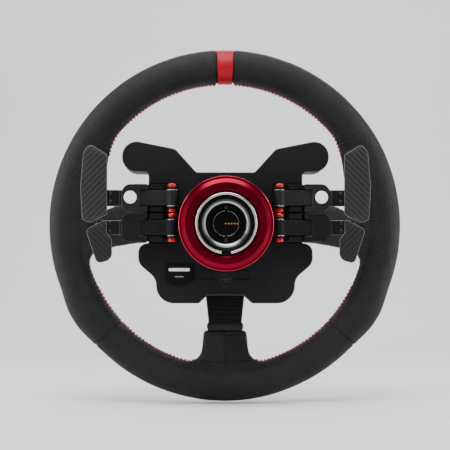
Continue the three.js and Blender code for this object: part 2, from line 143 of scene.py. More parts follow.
def corners_round(points, seg=9, rmin=0.0):
    """Rounded polygon from corners [x, z, radius]. The number of points does not depend on the radii."""
    n = len(points)
    P = [(p[0], p[1], max(rmin, p[2] if len(p) > 2 else 0.0)) for p in points]
    C = []
    for i in range(n):
        px, pz, _ = P[i - 1]
        x, z, r = P[i]
        qx, qz, _ = P[(i + 1) % n]
        a = np.array([px - x, pz - z])
        b = np.array([qx - x, qz - z])
        la, lb = np.linalg.norm(a), np.linalg.norm(b)
        a, b = a / la, b / lb
        half = math.acos(max(-1, min(1, float(a @ b)))) / 2
        t = r / math.tan(half) if r > 0 and half < 1.5 else 0.0
        C.append([x, z, a, b, la, lb, half, t])
    for i in range(n):
        c, d = C[i], C[(i + 1) % n]
        tot = c[7] + d[7]
        if tot > c[5] * 0.998:
            k = c[5] * 0.998 / tot
            c[7] *= k
            d[7] *= k
    out = []
    for x, z, a, b, la, lb, half, t in C:
        if t <= 0:
            out.append((x, z))
            continue
        rr = t * math.tan(half)
        bis = (a + b) / np.linalg.norm(a + b)
        c = np.array([x, z]) + bis * rr / math.sin(half)
        s0 = np.array([x, z]) + a * t - c
        s1 = np.array([x, z]) + b * t - c
        a0, a1 = math.atan2(s0[1], s0[0]), math.atan2(s1[1], s1[0])
        while a1 - a0 > math.pi:
            a1 -= 2 * math.pi
        while a1 - a0 < -math.pi:
            a1 += 2 * math.pi
        k = max(3, round(seg * abs(a1 - a0) / 1.5))
        for j in range(k + 1):
            g = a0 + (a1 - a0) * j / k
            out.append((c[0] + rr * math.cos(g), c[1] + rr * math.sin(g)))
    return out


def inset(poly, d, rmin=0.3):
    n = len(poly)
    area2 = sum(poly[i][0] * poly[(i + 1) % n][1] - poly[(i + 1) % n][0] * poly[i][1] for i in range(n))
    s = 1 if area2 > 0 else -1
    out = []
    for i in range(n):
        p, q, r = poly[i - 1], poly[i], poly[(i + 1) % n]
        e1 = np.array([q[0] - p[0], q[1] - p[1]], float)
        e2 = np.array([r[0] - q[0], r[1] - q[1]], float)
        e1 /= np.linalg.norm(e1)
        e2 /= np.linalg.norm(e2)
        n1 = np.array([-e1[1], e1[0]]) * s
        n2 = np.array([-e2[1], e2[0]]) * s
        m = n1 + n2
        m /= np.linalg.norm(m)
        k = d / float(m @ n1)
        convex = s * (e1[0] * e2[1] - e1[1] * e2[0]) > 0
        rad = q[2] if len(q) > 2 else 0
        out.append((q[0] + m[0] * k, q[1] + m[1] * k, max(rmin, rad - d) if convex else max(rmin, rad + d)))
    return out


def flip_x(poly):
    return [(-p[0],) + tuple(p[1:]) for p in poly]


def rings_y(rings):
    """Closed solid from [(polygon of (x, z)), y] rings of the same count."""
    n = len(rings[0][0])
    verts, faces = [], []
    for poly, y in rings:
        verts += [(x, y, z) for x, z in poly]
    for k in range(len(rings) - 1):
        for i in range(n):
            j = (i + 1) % n
            faces.append((k * n + i, (k + 1) * n + i, (k + 1) * n + j, k * n + j))
    faces.append(tuple(range(n)))
    faces.append(tuple(reversed(range((len(rings) - 1) * n, len(rings) * n))))
    return verts, faces


def plate(corners, y0, y1, c0=0.0, c1=0.0, seg=9, rmin=0.3):
    """Corner polygon extruded along Y, with chamfers c0 at y0 and c1 at y1."""
    base = corners_round(inset(corners, 0, rmin), seg)
    rings = []
    if c0:
        rings.append((corners_round(inset(corners, c0, rmin), seg), y0))
        rings.append((corners_round(inset(corners, c0 * 0.3, rmin), seg), y0 + c0 * 0.3))
    rings.append((base, y0 + c0))
    rings.append((base, y1 - c1))
    if c1:
        rings.append((corners_round(inset(corners, c1 * 0.3, rmin), seg), y1 - c1 * 0.3))
        rings.append((corners_round(inset(corners, c1, rmin), seg), y1))
    return rings_y(rings)


def prism_z(poly_xy, z0, z1):
    n = len(poly_xy)
    verts = [(x, y, z0) for x, y in poly_xy] + [(x, y, z1) for x, y in poly_xy]
    faces = [(i, (i + 1) % n, (i + 1) % n + n, i + n) for i in range(n)]
    faces += [tuple(reversed(range(n))), tuple(range(n, 2 * n))]
    return verts, faces


def block(x0, x1, y0, y1, z0, z1):
    x0, x1 = min(x0, x1), max(x0, x1)
    return prism_z([(x0, y0), (x1, y0), (x1, y1), (x0, y1)], z0, z1)


def rod_y(x, z, r, y0, y1, n=48, r2=None):
    r2 = r if r2 is None else r2
    a = [2 * math.pi * i / n for i in range(n)]
    return rings_y([([(x + r * math.cos(t), z + r * math.sin(t)) for t in a], y0), ([(x + r2 * math.cos(t), z + r2 * math.sin(t)) for t in a], y1)])


def pin_z(x, y, r, z0, z1, n=48):
    return prism_z([(x + r * math.cos(2 * math.pi * i / n), y + r * math.sin(2 * math.pi * i / n)) for i in range(n)], z0, z1)


def fillet(profile, radius, seg=4):
    """Rounds the inner corners of an open [r, y] profile. radius is one number or one per corner."""
    out = [tuple(profile[0])]
    for i in range(1, len(profile) - 1):
        r = radius[i - 1] if isinstance(radius, (list, tuple)) else radius
        p, q, s = (np.array(profile[k], float) for k in (i - 1, i, i + 1))
        a, b = p - q, s - q
        la, lb = np.linalg.norm(a), np.linalg.norm(b)
        if r <= 0 or la < 1e-6 or lb < 1e-6:
            out.append(tuple(q))
            continue
        a, b = a / la, b / lb
        half = math.acos(max(-1, min(1, float(a @ b)))) / 2
        if half > 1.53 or half < 0.02:
            out.append(tuple(q))
            continue
        t = min(r / math.tan(half), la * 0.48, lb * 0.48)
        rr = t * math.tan(half)
        bis = (a + b) / np.linalg.norm(a + b)
        c = q + bis * rr / math.sin(half)
        s0, s1 = q + a * t - c, q + b * t - c
        a0, a1 = math.atan2(s0[1], s0[0]), math.atan2(s1[1], s1[0])
        while a1 - a0 > math.pi:
            a1 -= 2 * math.pi
        while a1 - a0 < -math.pi:
            a1 += 2 * math.pi
        for j in range(seg + 1):
            g = a0 + (a1 - a0) * j / seg
            out.append((c[0] + rr * math.cos(g), c[1] + rr * math.sin(g)))
    out.append(tuple(profile[-1]))
    return out


def lathe(profile, n=96, x=0.0, z=0.0):
    """Profile of [radius, y] turned about an axis parallel to Y. Ends on the axis, or closes on itself."""
    closed = profile[0][0] > 1e-6 or profile[-1][0] > 1e-6
    verts, rows = [], []
    for r, y in profile:
        if r < 1e-6:
            rows.append([len(verts)])
            verts.append((x, y, z))
        else:
            rows.append(list(range(len(verts), len(verts) + n)))
            verts += [(x + r * math.cos(2 * math.pi * i / n), y, z + r * math.sin(2 * math.pi * i / n)) for i in range(n)]
    faces = []
    pairs = list(zip(rows[:-1], rows[1:])) + ([(rows[-1], rows[0])] if closed else [])
    for a, b in pairs:
        for i in range(n):
            j = (i + 1) % n
            if len(a) == 1 and len(b) == 1:
                continue
            if len(a) == 1:
                faces.append((a[0], b[i], b[j]))
            elif len(b) == 1:
                faces.append((a[i], b[0], a[j]))
            else:
                faces.append((a[i], b[i], b[j], a[j]))
    return verts, faces


def sweep(path, r, sides=8, radii=None):
    """A round bar along a path, with flat capped ends."""
    path = [np.array(p, float) for p in path]
    verts, faces = [], []
    t0 = path[1] - path[0]
    t0 /= np.linalg.norm(t0)
    up = np.array([0, 0, 1.0]) if abs(t0[2]) < 0.9 else np.array([1.0, 0, 0])
    nrm = np.cross(t0, up)
    nrm /= np.linalg.norm(nrm)
    m = len(path)
    rows = []
    for k, p in enumerate(path):
        t = path[min(k + 1, m - 1)] - path[max(k - 1, 0)]
        t /= np.linalg.norm(t)
        nrm = nrm - t * (nrm @ t)
        nrm /= np.linalg.norm(nrm)
        bn = np.cross(t, nrm)
        rad = radii[k] if radii is not None else r
        rows.append(len(verts))
        for i in range(sides):
            g = 2 * math.pi * i / sides
            verts.append(p + (nrm * math.cos(g) + bn * math.sin(g)) * rad)
    for k in range(m - 1):
        for i in range(sides):
            j = (i + 1) % sides
            faces.append((rows[k] + i, rows[k + 1] + i, rows[k + 1] + j, rows[k] + j))
    faces.append(tuple(range(rows[0], rows[0] + sides)))
    faces.append(tuple(reversed(range(rows[-1], rows[-1] + sides))))
    return verts, faces


def merge(*parts):
    verts, faces = [], []
    for v, f in parts:
        k = len(verts)
        verts += list(v)
        faces += [tuple(i + k for i in q) for q in f]
    return verts, faces


def solid(name, first, add=(), cut=()):
    """first joined with add and cut by cut, each a (verts, faces) solid."""
    o = new_object(name, *first)
    tmp = []
    for k, (parts, op) in enumerate(((add, "UNION"), (cut, "DIFFERENCE"))):
        for p in parts:
            t = new_object("tmp", *p)
            t.hide_render = True
            tmp.append(t)
            m = o.modifiers.new("b", "BOOLEAN")
            m.operation = op
            m.solver = "EXACT"
            m.object = t
    if tmp:
        apply_mods(o)
        for t in tmp:
            me = t.data
            bpy.data.objects.remove(t)
            bpy.data.meshes.remove(me)
    return o


def machined(o, width=0.3, seg=2, angle=32, clean=True, mark=True):
    """Small rounded edges on a machined or moulded piece. The rounded faces are marked, so that a material can paint a
    highlight there.
    """
    if clean:
        bm = bmesh.new()
        bm.from_mesh(o.data)
        bmesh.ops.remove_doubles(bm, verts=bm.verts, dist=2e-6)
        bmesh.ops.dissolve_limit(bm, angle_limit=math.radians(0.6), verts=bm.verts, edges=bm.edges)
        bm.to_mesh(o.data)
        bm.free()
    if width:
        m = o.modifiers.new("bevel", "BEVEL")
        m.width = width * MM
        m.segments = seg
        m.limit_method = "ANGLE"
        m.angle_limit = math.radians(angle)
        m.use_clamp_overlap = True
        m.miter_outer = "MITER_ARC"
        if mark:
            o.data.materials.clear()
            for mat in (None, None):
                o.data.materials.append(mat)
            o.data.polygons.foreach_set("material_index", np.zeros(len(o.data.polygons), np.int32))
            m.material = 1
    m = o.modifiers.new("tri", "TRIANGULATE")
    m.min_vertices = 5
    apply_mods(o)
    if width and mark:
        idx = np.empty(len(o.data.polygons), np.int32)
        o.data.polygons.foreach_get("material_index", idx)
        o.data.attributes.new("edge", "FLOAT", "FACE").data.foreach_set("value", (idx == 1).astype(np.float32))
        o.data.polygons.foreach_set("material_index", np.zeros(len(idx), np.int32))
    smooth_by_angle(o, 38)
    m = o.modifiers.new("normals", "WEIGHTED_NORMAL")
    m.weight = 70
    m.keep_sharp = True
    return o


def piece(o, body, mat, replaces=(), smooth=None):
    o.data.materials.clear()
    o.data.materials.append(mat)
    if smooth is not None:
        smooth_by_angle(o, smooth)
    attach(o, body)
    if replaces:
        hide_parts(*replaces)
    return o


# ------------------------------------------------------------------ materials
class Mat:
    def __init__(self, name, **principled):
        self.m = bpy.data.materials.new(name)
        self.m.use_nodes = True
        self.t = self.m.node_tree
        self.p = self.t.nodes["Principled BSDF"]
        for k, v in principled.items():
            self.p.inputs[k.replace("_", " ")].default_value = v
        self.co = self.n("ShaderNodeTexCoord").outputs["Object"]

    def n(self, kind, **kw):
        node = self.t.nodes.new(kind)
        for k, v in kw.items():
            setattr(node, k, v)
        return node

    def put(self, sock, v):
        if isinstance(v, (int, float)):
            sock.default_value = v
        elif isinstance(v, tuple):
            sock.default_value = v
        else:
            self.t.links.new(v, sock)

    def math(self, op, a, b=None, c=None, clamp=False):
        node = self.n("ShaderNodeMath", operation=op, use_clamp=clamp)
        self.put(node.inputs[0], a)
        if b is not None:
            self.put(node.inputs[1], b)
        if c is not None:
            self.put(node.inputs[2], c)
        return node.outputs[0]

    def xyz(self, v=None):
        node = self.n("ShaderNodeSeparateXYZ")
        self.put(node.inputs[0], self.co if v is None else v)
        return node.outputs

    def vec(self, x, y, z):
        node = self.n("ShaderNodeCombineXYZ")
        for i, v in enumerate((x, y, z)):
            self.put(node.inputs[i], v)
        return node.outputs[0]

    def scaled(self, s, v=None):
        node = self.n("ShaderNodeVectorMath", operation="MULTIPLY")
        self.put(node.inputs[0], self.co if v is None else v)
        node.inputs[1].default_value = s
        return node.outputs[0]

    def noise(self, scale, detail=2.0, rough=0.5, v=None, distortion=0.0):
        node = self.n("ShaderNodeTexNoise")
        self.put(node.inputs["Vector"], self.co if v is None else v)
        node.inputs["Scale"].default_value = scale
        node.inputs["Detail"].default_value = detail
        node.inputs["Roughness"].default_value = rough
        node.inputs["Distortion"].default_value = distortion
        return node.outputs[0]

    def voronoi(self, scale, feature="F1", v=None, rand=1.0):
        node = self.n("ShaderNodeTexVoronoi", feature=feature)
        self.put(node.inputs["Vector"], self.co if v is None else v)
        node.inputs["Scale"].default_value = scale
        node.inputs["Randomness"].default_value = rand
        return node.outputs["Distance"]

    def ramp(self, f, a, b, lo=0.0, hi=1.0):
        """Smooth map of f from lo..hi to a..b."""
        node = self.n("ShaderNodeMapRange", interpolation_type="SMOOTHSTEP")
        self.put(node.inputs["Value"], f)
        node.inputs["From Min"].default_value = lo
        node.inputs["From Max"].default_value = hi
        node.inputs["To Min"].default_value = a
        node.inputs["To Max"].default_value = b
        return node.outputs[0]

    def mix(self, f, a, b):
        node = self.n("ShaderNodeMix", data_type="RGBA")
        self.put(node.inputs["Factor"], f)
        ins = [i for i in node.inputs if i.type == "RGBA"]
        for s, v in zip(ins, (a, b)):
            if isinstance(v, tuple):
                s.default_value = (*v, 1) if len(v) == 3 else v
            else:
                self.t.links.new(v, s)
        return [o for o in node.outputs if o.type == "RGBA"][0]

    def bump(self, h, strength=0.3, distance=0.0003, normal=None):
        node = self.n("ShaderNodeBump")
        node.inputs["Strength"].default_value = strength
        node.inputs["Distance"].default_value = distance
        self.put(node.inputs["Height"], h)
        if normal is not None:
            self.t.links.new(normal, node.inputs["Normal"])
        return node.outputs[0]

    def set(self, **kw):
        for k, v in kw.items():
            self.put(self.p.inputs[k.replace("_", " ")], v)
        return self


def leather(name, low, high, grain=900.0, rough=(0.68, 0.50), bump=0.5, specular=0.25, seams=False, wrinkle=1.0):
    """Pebble-grained leather: rounded cells of two sizes with fine pores, over soft hand-stretched waves."""
    m = Mat(name, Specular_IOR_Level=specular)
    wn = m.n("ShaderNodeTexNoise")
    m.put(wn.inputs["Vector"], m.co)
    wn.inputs["Scale"].default_value = 500
    wn.inputs["Detail"].default_value = 2
    warp = m.n("ShaderNodeVectorMath", operation="ADD")
    m.put(warp.inputs[0], m.co)
    m.put(warp.inputs[1], m.scaled((0.0006, 0.0006, 0.0006), wn.outputs[1]))
    w = warp.outputs[0]
    dome = m.ramp(m.voronoi(grain, "F1", w), 1.0, 0.0, 0.05, 0.75)
    dome2 = m.ramp(m.voronoi(grain * 1.9, "F1", w), 1.0, 0.0, 0.05, 0.8)
    valley = m.ramp(m.voronoi(grain, "DISTANCE_TO_EDGE", w), 0.0, 1.0, 0.0, 0.14)
    fine = m.noise(grain * 5, 2, 0.6)
    mid = m.noise(95, 4, 0.62)
    big = m.noise(24, 3, 0.6)
    h = m.math("ADD", m.math("MULTIPLY", dome, 0.55), m.math("MULTIPLY", dome2, 0.25))
    h = m.math("ADD", h, m.math("MULTIPLY", valley, 0.35))
    h = m.math("ADD", h, m.math("MULTIPLY", fine, 0.12))
    h = m.math("ADD", h, m.math("MULTIPLY", mid, 0.9 * wrinkle))
    tone = m.math("ADD", m.math("MULTIPLY", valley, 0.45), m.math("MULTIPLY", dome, 0.2))
    tone = m.math("ADD", tone, m.math("MULTIPLY", m.ramp(big, 0, 1, 0.25, 0.75), 0.2))
    tone = m.math("ADD", tone, m.math("MULTIPLY", m.ramp(mid, 0, 1, 0.25, 0.75), 0.15), clamp=True)
    col = m.mix(tone, low, high)
    if seams:
        x, y, z = m.xyz()
        ax = m.math("ABSOLUTE", x)
        rr = m.math("SQRT", m.math("ADD", m.math("MULTIPLY", x, x), m.math("MULTIPLY", z, z)))
        theta = m.math("ARCTAN2", z, x)
        pleat = m.noise(1.0, 3, 0.6, m.vec(m.math("MULTIPLY", theta, 95.0), m.math("MULTIPLY", rr, 130.0), m.math("MULTIPLY", y, 90.0)), distortion=0.5)
        pleat = m.ramp(pleat, 0.0, 1.0, 0.42, 0.62)
        near_seam = m.math("MULTIPLY", m.ramp(rr, 1.0, 0.0, 0.1335, 0.1460), m.math("GREATER_THAN", rr, 0.1290))
        h = m.math("ADD", h, m.math("MULTIPLY", m.math("MULTIPLY", pleat, near_seam), 2.2))
        fold = m.noise(1.0, 4, 0.6, m.vec(m.math("MULTIPLY", x, 85.0), m.math("MULTIPLY", y, 60.0), m.math("MULTIPLY", z, 430.0)), distortion=0.9)
        fold = m.ramp(fold, 0.0, 1.0, 0.40, 0.60)
        on_boot = m.math("SUBTRACT", m.math("MULTIPLY", m.math("LESS_THAN", ax, 0.030), m.math("LESS_THAN", z, -0.0985)), m.ramp(z, 1.0, 0.0, -0.1295, -0.1265))
        on_boot = m.math("MAXIMUM", on_boot, 0.0)
        h = m.math("ADD", h, m.math("MULTIPLY", m.math("MULTIPLY", fold, on_boot), m.ramp(x, 0.9, 3.6, -0.004, 0.005)))
        # the thread-deep shadow in each seam, worked out from the place on the wheel
        ang = m.math("ARCTAN2", z, ax)
        d1 = m.math("MULTIPLY", m.math("ABSOLUTE", m.math("ADD", ang, math.radians(43.0))), rr)
        outside = m.math("GREATER_THAN", rr, 0.128)
        line = m.math("MULTIPLY", m.ramp(d1, 1.0, 0.0, 0.0002, 0.0009), outside)
        low_zone = m.math("MULTIPLY", m.math("LESS_THAN", z, -0.0985), m.math("LESS_THAN", rr, 0.1292))
        wave = m.math("MULTIPLY", m.math("SINE", m.math("MULTIPLY", z, 550.0)), 0.00034)
        wave = m.math("ADD", wave, m.math("MULTIPLY", m.math("SINE", m.math("MULTIPLY", z, 1450.0)), 0.0002))
        d2 = m.ramp(m.math("ABSOLUTE", m.math("SUBTRACT", x, wave)), 1.0, 0.0, 0.0002, 0.0008)
        line = m.math("MAXIMUM", line, m.math("MULTIPLY", d2, low_zone))
        d3 = m.ramp(m.math("ABSOLUTE", m.math("SUBTRACT", rr, 0.1290)), 1.0, 0.0, 0.0002, 0.0009)
        near = m.math("MULTIPLY", m.math("LESS_THAN", ax, 0.0235), m.math("LESS_THAN", z, -0.09))
        line = m.math("MAXIMUM", line, m.math("MULTIPLY", d3, near))
        # painted highlight: the leather is painted lighter in a band along the stitched inner edge, where the lamps
        # catch the inside of the rim
        stretch = m.math("MULTIPLY", m.ramp(rr, 1.0, 0.0, 0.1329, 0.1372), m.math("GREATER_THAN", ang, -0.86))
        stretch = m.math("MULTIPLY", stretch, m.ramp(mid, 0.35, 1.0, 0.25, 0.7))
        col = m.mix(m.math("MULTIPLY", stretch, 0.55), col, (0.045, 0.044, 0.044))
        col = m.mix(line, col, (0.0015, 0.0015, 0.0015))
    m.set(Base_Color=col, Roughness=m.ramp(tone, rough[0], rough[1], 0.1, 0.95))
    m.set(Normal=m.bump(h, bump, 0.0003))
    return m.m


def moulded(name, colour, rough=0.55, grain=5200.0, strength=0.22, specular=0.35, vary=0.12):
    """Injection-moulded plastic with a spark-eroded grain."""
    m = Mat(name, Specular_IOR_Level=specular)
    g = m.noise(grain, 2, 0.7)
    g2 = m.noise(grain * 0.3, 3, 0.6)
    big = m.noise(38, 4, 0.6)
    smudge = m.noise(150, 3, 0.6, distortion=0.6)
    h = m.math("ADD", m.math("MULTIPLY", g, 0.7), m.math("MULTIPLY", g2, 0.3))
    dark = tuple(c * (1 - vary) for c in colour)
    light = tuple(c * (1 + vary) for c in colour)
    m.set(Base_Color=m.mix(m.ramp(big, 0, 1, 0.3, 0.7), dark, light))
    m.set(Roughness=m.math("ADD", m.ramp(smudge, rough - 0.05, rough + 0.06, 0.3, 0.7), m.math("MULTIPLY", g, 0.04)))
    m.set(Normal=m.bump(h, strength, 0.00006))
    return m.m


def anodised(name, colour, rough=0.32, metallic=0.85, blast=True, specular=0.5, vary=0.1, coat=0.0, edge=None, rims=None):
    """Anodised metal: bead blasted, or turned about the wheel axis. edge is a lighter colour painted on its rounded
    edges as a painted highlight, broken up a little by noise; rims gives bands of radius where the same painted
    highlight is laid as thin rings.
    """
    m = Mat(name, Metallic=metallic, Specular_IOR_Level=specular, Coat_Weight=coat, Coat_Roughness=0.12)
    big = m.noise(45, 3, 0.6)
    dark = tuple(c * (1 - vary) for c in colour)
    light = tuple(min(1, c * (1 + vary)) for c in colour)
    col = m.mix(m.ramp(big, 0, 1, 0.3, 0.7), dark, light)
    if edge:
        mask = m.n("ShaderNodeAttribute", attribute_name="edge").outputs["Fac"]
        if rims:
            x, y, z = m.xyz()
            rr = m.math("SQRT", m.math("ADD", m.math("MULTIPLY", x, x), m.math("MULTIPLY", z, z)))
            for a, b in rims:
                band = m.math("MULTIPLY", m.math("GREATER_THAN", rr, a * MM), m.math("LESS_THAN", rr, b * MM))
                mask = m.math("MAXIMUM", mask, band)
        # painted highlight on the rounded edges and rim rings, made patchy with noise
        highlight_patches = m.ramp(m.noise(240, 3, 0.6), 0.75, 1.0, 0.3, 0.65)
        col = m.mix(m.math("MULTIPLY", mask, highlight_patches), col, edge)
    m.set(Base_Color=col)
    if blast:
        g = m.noise(6500, 2, 0.7)
        m.set(Roughness=m.math("ADD", m.ramp(big, rough - 0.03, rough + 0.05, 0.3, 0.7), m.math("MULTIPLY", g, 0.05)))
        m.set(Normal=m.bump(g, 0.16, 0.00004))
    else:
        x, y, z = m.xyz()
        rr = m.math("SQRT", m.math("ADD", m.math("MULTIPLY", x, x), m.math("MULTIPLY", z, z)))
        lines = m.noise(1.0, 3, 0.7, m.vec(m.math("MULTIPLY", rr, 9000), m.math("MULTIPLY", y, 9000), m.math("MULTIPLY", m.math("ARCTAN2", z, x), 1.2)))
        m.set(Roughness=m.ramp(lines, rough - 0.06, rough + 0.08, 0.25, 0.75))
        m.set(Normal=m.bump(lines, 0.10, 0.00003))
    return m.m


def twill(name, warp_col, weft_col, tow=2.0, rough=(0.34, 0.5), coat=0.25, angle=0.0, specular=0.5, flip=1.0, edge=None):
    """Two-by-two carbon twill in the X-Z plane."""
    m = Mat(name, Specular_IOR_Level=specular, Coat_Weight=coat, Coat_Roughness=0.18)
    x, y, z = m.xyz()
    c, s = math.cos(angle), math.sin(angle)
    u = m.math("ADD", m.math("MULTIPLY", x, c * 1000 / tow), m.math("MULTIPLY", z, s * 1000 / tow))
    v = m.math("ADD", m.math("MULTIPLY", x, -s * 1000 / tow), m.math("MULTIPLY", z, c * 1000 / tow))
    iu, iv = m.math("FLOOR", u), m.math("FLOOR", v)
    fu, fv = m.math("FRACT", u), m.math("FRACT", v)
    k = m.math("FLOORED_MODULO", m.math("ADD", iu, m.math("MULTIPLY", iv, flip)), 4.0)
    over = m.math("LESS_THAN", k, 1.5)
    # round tow sections
    hu = m.math("SUBTRACT", 1.0, m.math("POWER", m.math("ABSOLUTE", m.math("SUBTRACT", m.math("MULTIPLY", fu, 2.0), 1.0)), 2.0))
    hv = m.math("SUBTRACT", 1.0, m.math("POWER", m.math("ABSOLUTE", m.math("SUBTRACT", m.math("MULTIPLY", fv, 2.0), 1.0)), 2.0))
    h = m.math("ADD", m.math("MULTIPLY", hu, over), m.math("MULTIPLY", hv, m.math("SUBTRACT", 1.0, over)))
    fibre_u = m.noise(1.0, 2, 0.7, m.vec(m.math("MULTIPLY", u, 26.0), 0.0, m.math("MULTIPLY", v, 1.1)))
    fibre_v = m.noise(1.0, 2, 0.7, m.vec(m.math("MULTIPLY", u, 1.1), 0.0, m.math("MULTIPLY", v, 26.0)))
    fibre = m.math("ADD", m.math("MULTIPLY", fibre_u, over), m.math("MULTIPLY", fibre_v, m.math("SUBTRACT", 1.0, over)))
    gap = m.ramp(h, 0.35, 1.0, 0.0, 0.45)
    w = m.mix(over, weft_col, warp_col)
    col = m.mix(m.ramp(fibre, 0.0, 0.35, 0.35, 0.75), w, tuple(min(1, 1.8 * q) for q in warp_col))
    dk = m.mix(gap, (0.002, 0.002, 0.002), col)
    if edge:
        # painted highlight: a lighter band on the chamfered cut edge of the sheet
        e = m.math("MULTIPLY", m.ramp(y, 0.0, 1.0, edge[0] * MM, (edge[0] + 0.08) * MM), m.ramp(y, 1.0, 0.0, edge[1] * MM, (edge[1] + 0.1) * MM))
        dk = m.mix(e, dk, (0.11, 0.11, 0.113))
    m.set(Base_Color=dk, Roughness=m.ramp(over, rough[0], rough[1], 0, 1))
    hh = m.math("ADD", m.math("MULTIPLY", h, 0.8), m.math("MULTIPLY", fibre, 0.2))
    m.set(Normal=m.bump(hh, 0.30, 0.00012))
    return m.m


def thread(name, colour):
    m = Mat(name, Specular_IOR_Level=0.3, Sheen_Weight=0.2)
    n1 = m.noise(2600, 2, 0.6)
    m.set(Base_Color=m.mix(m.ramp(n1, 0, 1, 0.3, 0.7), tuple(c * 0.6 for c in colour), tuple(min(1, c * 1.25) for c in colour)))
    m.set(Roughness=m.ramp(n1, 0.55, 0.75, 0.3, 0.7), Normal=m.bump(n1, 0.5, 0.0001))
    return m.m


def shell_black():
    """Moulded black with a painted highlight: a bright line painted on the chamfered edge that faces the wheel base."""
    m = Mat("housing_black", Specular_IOR_Level=0.22)
    x, y, z = m.xyz()
    ax = m.math("ABSOLUTE", x)
    g = m.noise(5200, 2, 0.7)
    g2 = m.noise(1500, 3, 0.6)
    big = m.noise(38, 4, 0.6)
    smudge = m.noise(150, 3, 0.6, distortion=0.6)
    # painted highlight on the rear chamfer, kept out of the grooves and the module pockets
    edge = m.math("MULTIPLY", m.ramp(y, 0.0, 1.0, 0.03603, 0.03618), m.ramp(y, 1.0, 0.0, 0.03692, 0.03706))
    groove = m.math("MULTIPLY", m.math("LESS_THAN", ax, 0.0245), m.math("MULTIPLY", m.math("GREATER_THAN", z, -0.0525), m.math("LESS_THAN", z, -0.0405)))
    ring = m.math("SQRT", m.math("ADD", m.math("MULTIPLY", x, x), m.math("POWER", m.math("ADD", z, 0.0514), 2.0)))
    groove = m.math("MULTIPLY", groove, m.math("GREATER_THAN", ring, 0.0080))
    pocket = m.math("MULTIPLY", m.math("MULTIPLY", m.math("GREATER_THAN", ax, 0.0428), m.math("LESS_THAN", ax, 0.0698)), m.math("MULTIPLY", m.math("GREATER_THAN", z, -0.0186), m.math("LESS_THAN", z, 0.0386)))
    edge = m.math("MULTIPLY", edge, m.math("SUBTRACT", 1.0, m.math("MAXIMUM", groove, pocket)))
    edge = m.math("MULTIPLY", edge, m.ramp(smudge, 0.8, 1.0, 0.3, 0.7))
    body = m.mix(m.ramp(big, 0, 1, 0.3, 0.7), (0.0030, 0.0030, 0.0032), (0.0042, 0.0042, 0.0045))
    m.set(Base_Color=m.mix(edge, body, (0.045, 0.0455, 0.047)))
    m.set(Roughness=m.math("ADD", m.math("SUBTRACT", m.ramp(smudge, 0.50, 0.60, 0.3, 0.7), m.math("MULTIPLY", edge, 0.15)), m.math("MULTIPLY", g, 0.04)))
    h = m.math("ADD", m.math("MULTIPLY", g, 0.7), m.math("MULTIPLY", g2, 0.3))
    m.set(Normal=m.bump(h, 0.22, 0.00006))
    return m.m


M_LEATHER = leather("black_leather", (0.0014, 0.0014, 0.0015), (0.0137, 0.0137, 0.0140), bump=0.85, specular=0.22, seams=True)
M_COLLAR_LEATHER = leather("collar_leather", (0.0022, 0.0022, 0.0022), (0.0092, 0.0092, 0.0094), grain=950, wrinkle=1.6)
M_SLEEVE = leather("sleeve_leather", (0.0012, 0.0012, 0.0012), (0.0042, 0.0042, 0.0043), grain=1150, rough=(0.74, 0.58), bump=0.4, specular=0.14, wrinkle=1.5)
M_RED_LEATHER = leather("red_leather", (0.25, 0.0008, 0.008), (0.40, 0.0012, 0.015), grain=1350, rough=(0.46, 0.38), bump=0.12, specular=0.20, wrinkle=0.5)
# the welt leather is painted far lighter than the sleeve: a painted highlight for the grazing light along the sleeve's
# sides
M_WELT_HIGHLIGHT = leather("welt_painted_highlight", (0.020, 0.020, 0.0205), (0.060, 0.060, 0.061), grain=1800, rough=(0.5, 0.4), bump=0.2, specular=0.4)
M_HOUSING = shell_black()
M_SOFT = moulded("soft_plug_black", (0.0026, 0.0026, 0.0028), 0.72, grain=3800, specular=0.12)
M_SOCKET = moulded("socket_black", (0.0011, 0.0011, 0.0012), 0.52, grain=4200, specular=0.09)
M_PORT = moulded("port_black", (0.0045, 0.0045, 0.0047), 0.4, grain=4200, specular=0.3)
# the edge colours below are painted highlights on each piece's rounded edges; the collar's are painted on thin rings at
# its inner and outer rims
M_ARM = anodised("arm_black", (0.0185, 0.0189, 0.0196), 0.38, 0.55, specular=0.34, edge=(0.15, 0.151, 0.154))
# painted shade: the lower (clutch) arms get a darker copy of the arm finish
M_ARM_SHADED = anodised("clutch_arm_shaded", (0.0085, 0.0087, 0.0092), 0.40, 0.5, specular=0.3, edge=(0.12, 0.121, 0.124))
M_BASE = anodised("base_black", (0.0085, 0.0087, 0.0092), 0.40, 0.5, specular=0.3, edge=(0.12, 0.121, 0.124))
M_SLIDER = anodised("slider_black", (0.0105, 0.0107, 0.0112), 0.36, 0.5, specular=0.3, edge=(0.14, 0.141, 0.144))
M_COLLAR = anodised("collar_red", (0.185, 0.0014, 0.0140), 0.30, 0.90, blast=False, coat=0.03, specular=0.3, edge=(0.62, 0.055, 0.085), rims=((30.2, 30.72), (43.02, 43.6)))
M_CAP_RED = anodised("cap_red", (0.60, 0.010, 0.016), 0.25, 0.6, coat=0.35)
M_STEEL = anodised("turned_steel", (0.80, 0.765, 0.71), 0.24, 0.9, blast=False, vary=0.03)
M_BODY_STEEL = anodised("blued_steel", (0.018, 0.018, 0.019), 0.34, 0.9, blast=False, vary=0.08)
M_DARK_STEEL = anodised("dark_steel", (0.045, 0.045, 0.047), 0.3, 0.9, vary=0.15)
M_STEP = anodised("step_steel", (0.085, 0.085, 0.087), 0.34, 0.95, blast=False, vary=0.05)
M_BRIGHT = anodised("bright_ring", (0.55, 0.54, 0.53), 0.24, 1.0, vary=0.05)
M_ALLOY = anodised("cast_alloy", (0.42, 0.42, 0.43), 0.4, 1.0, vary=0.1)
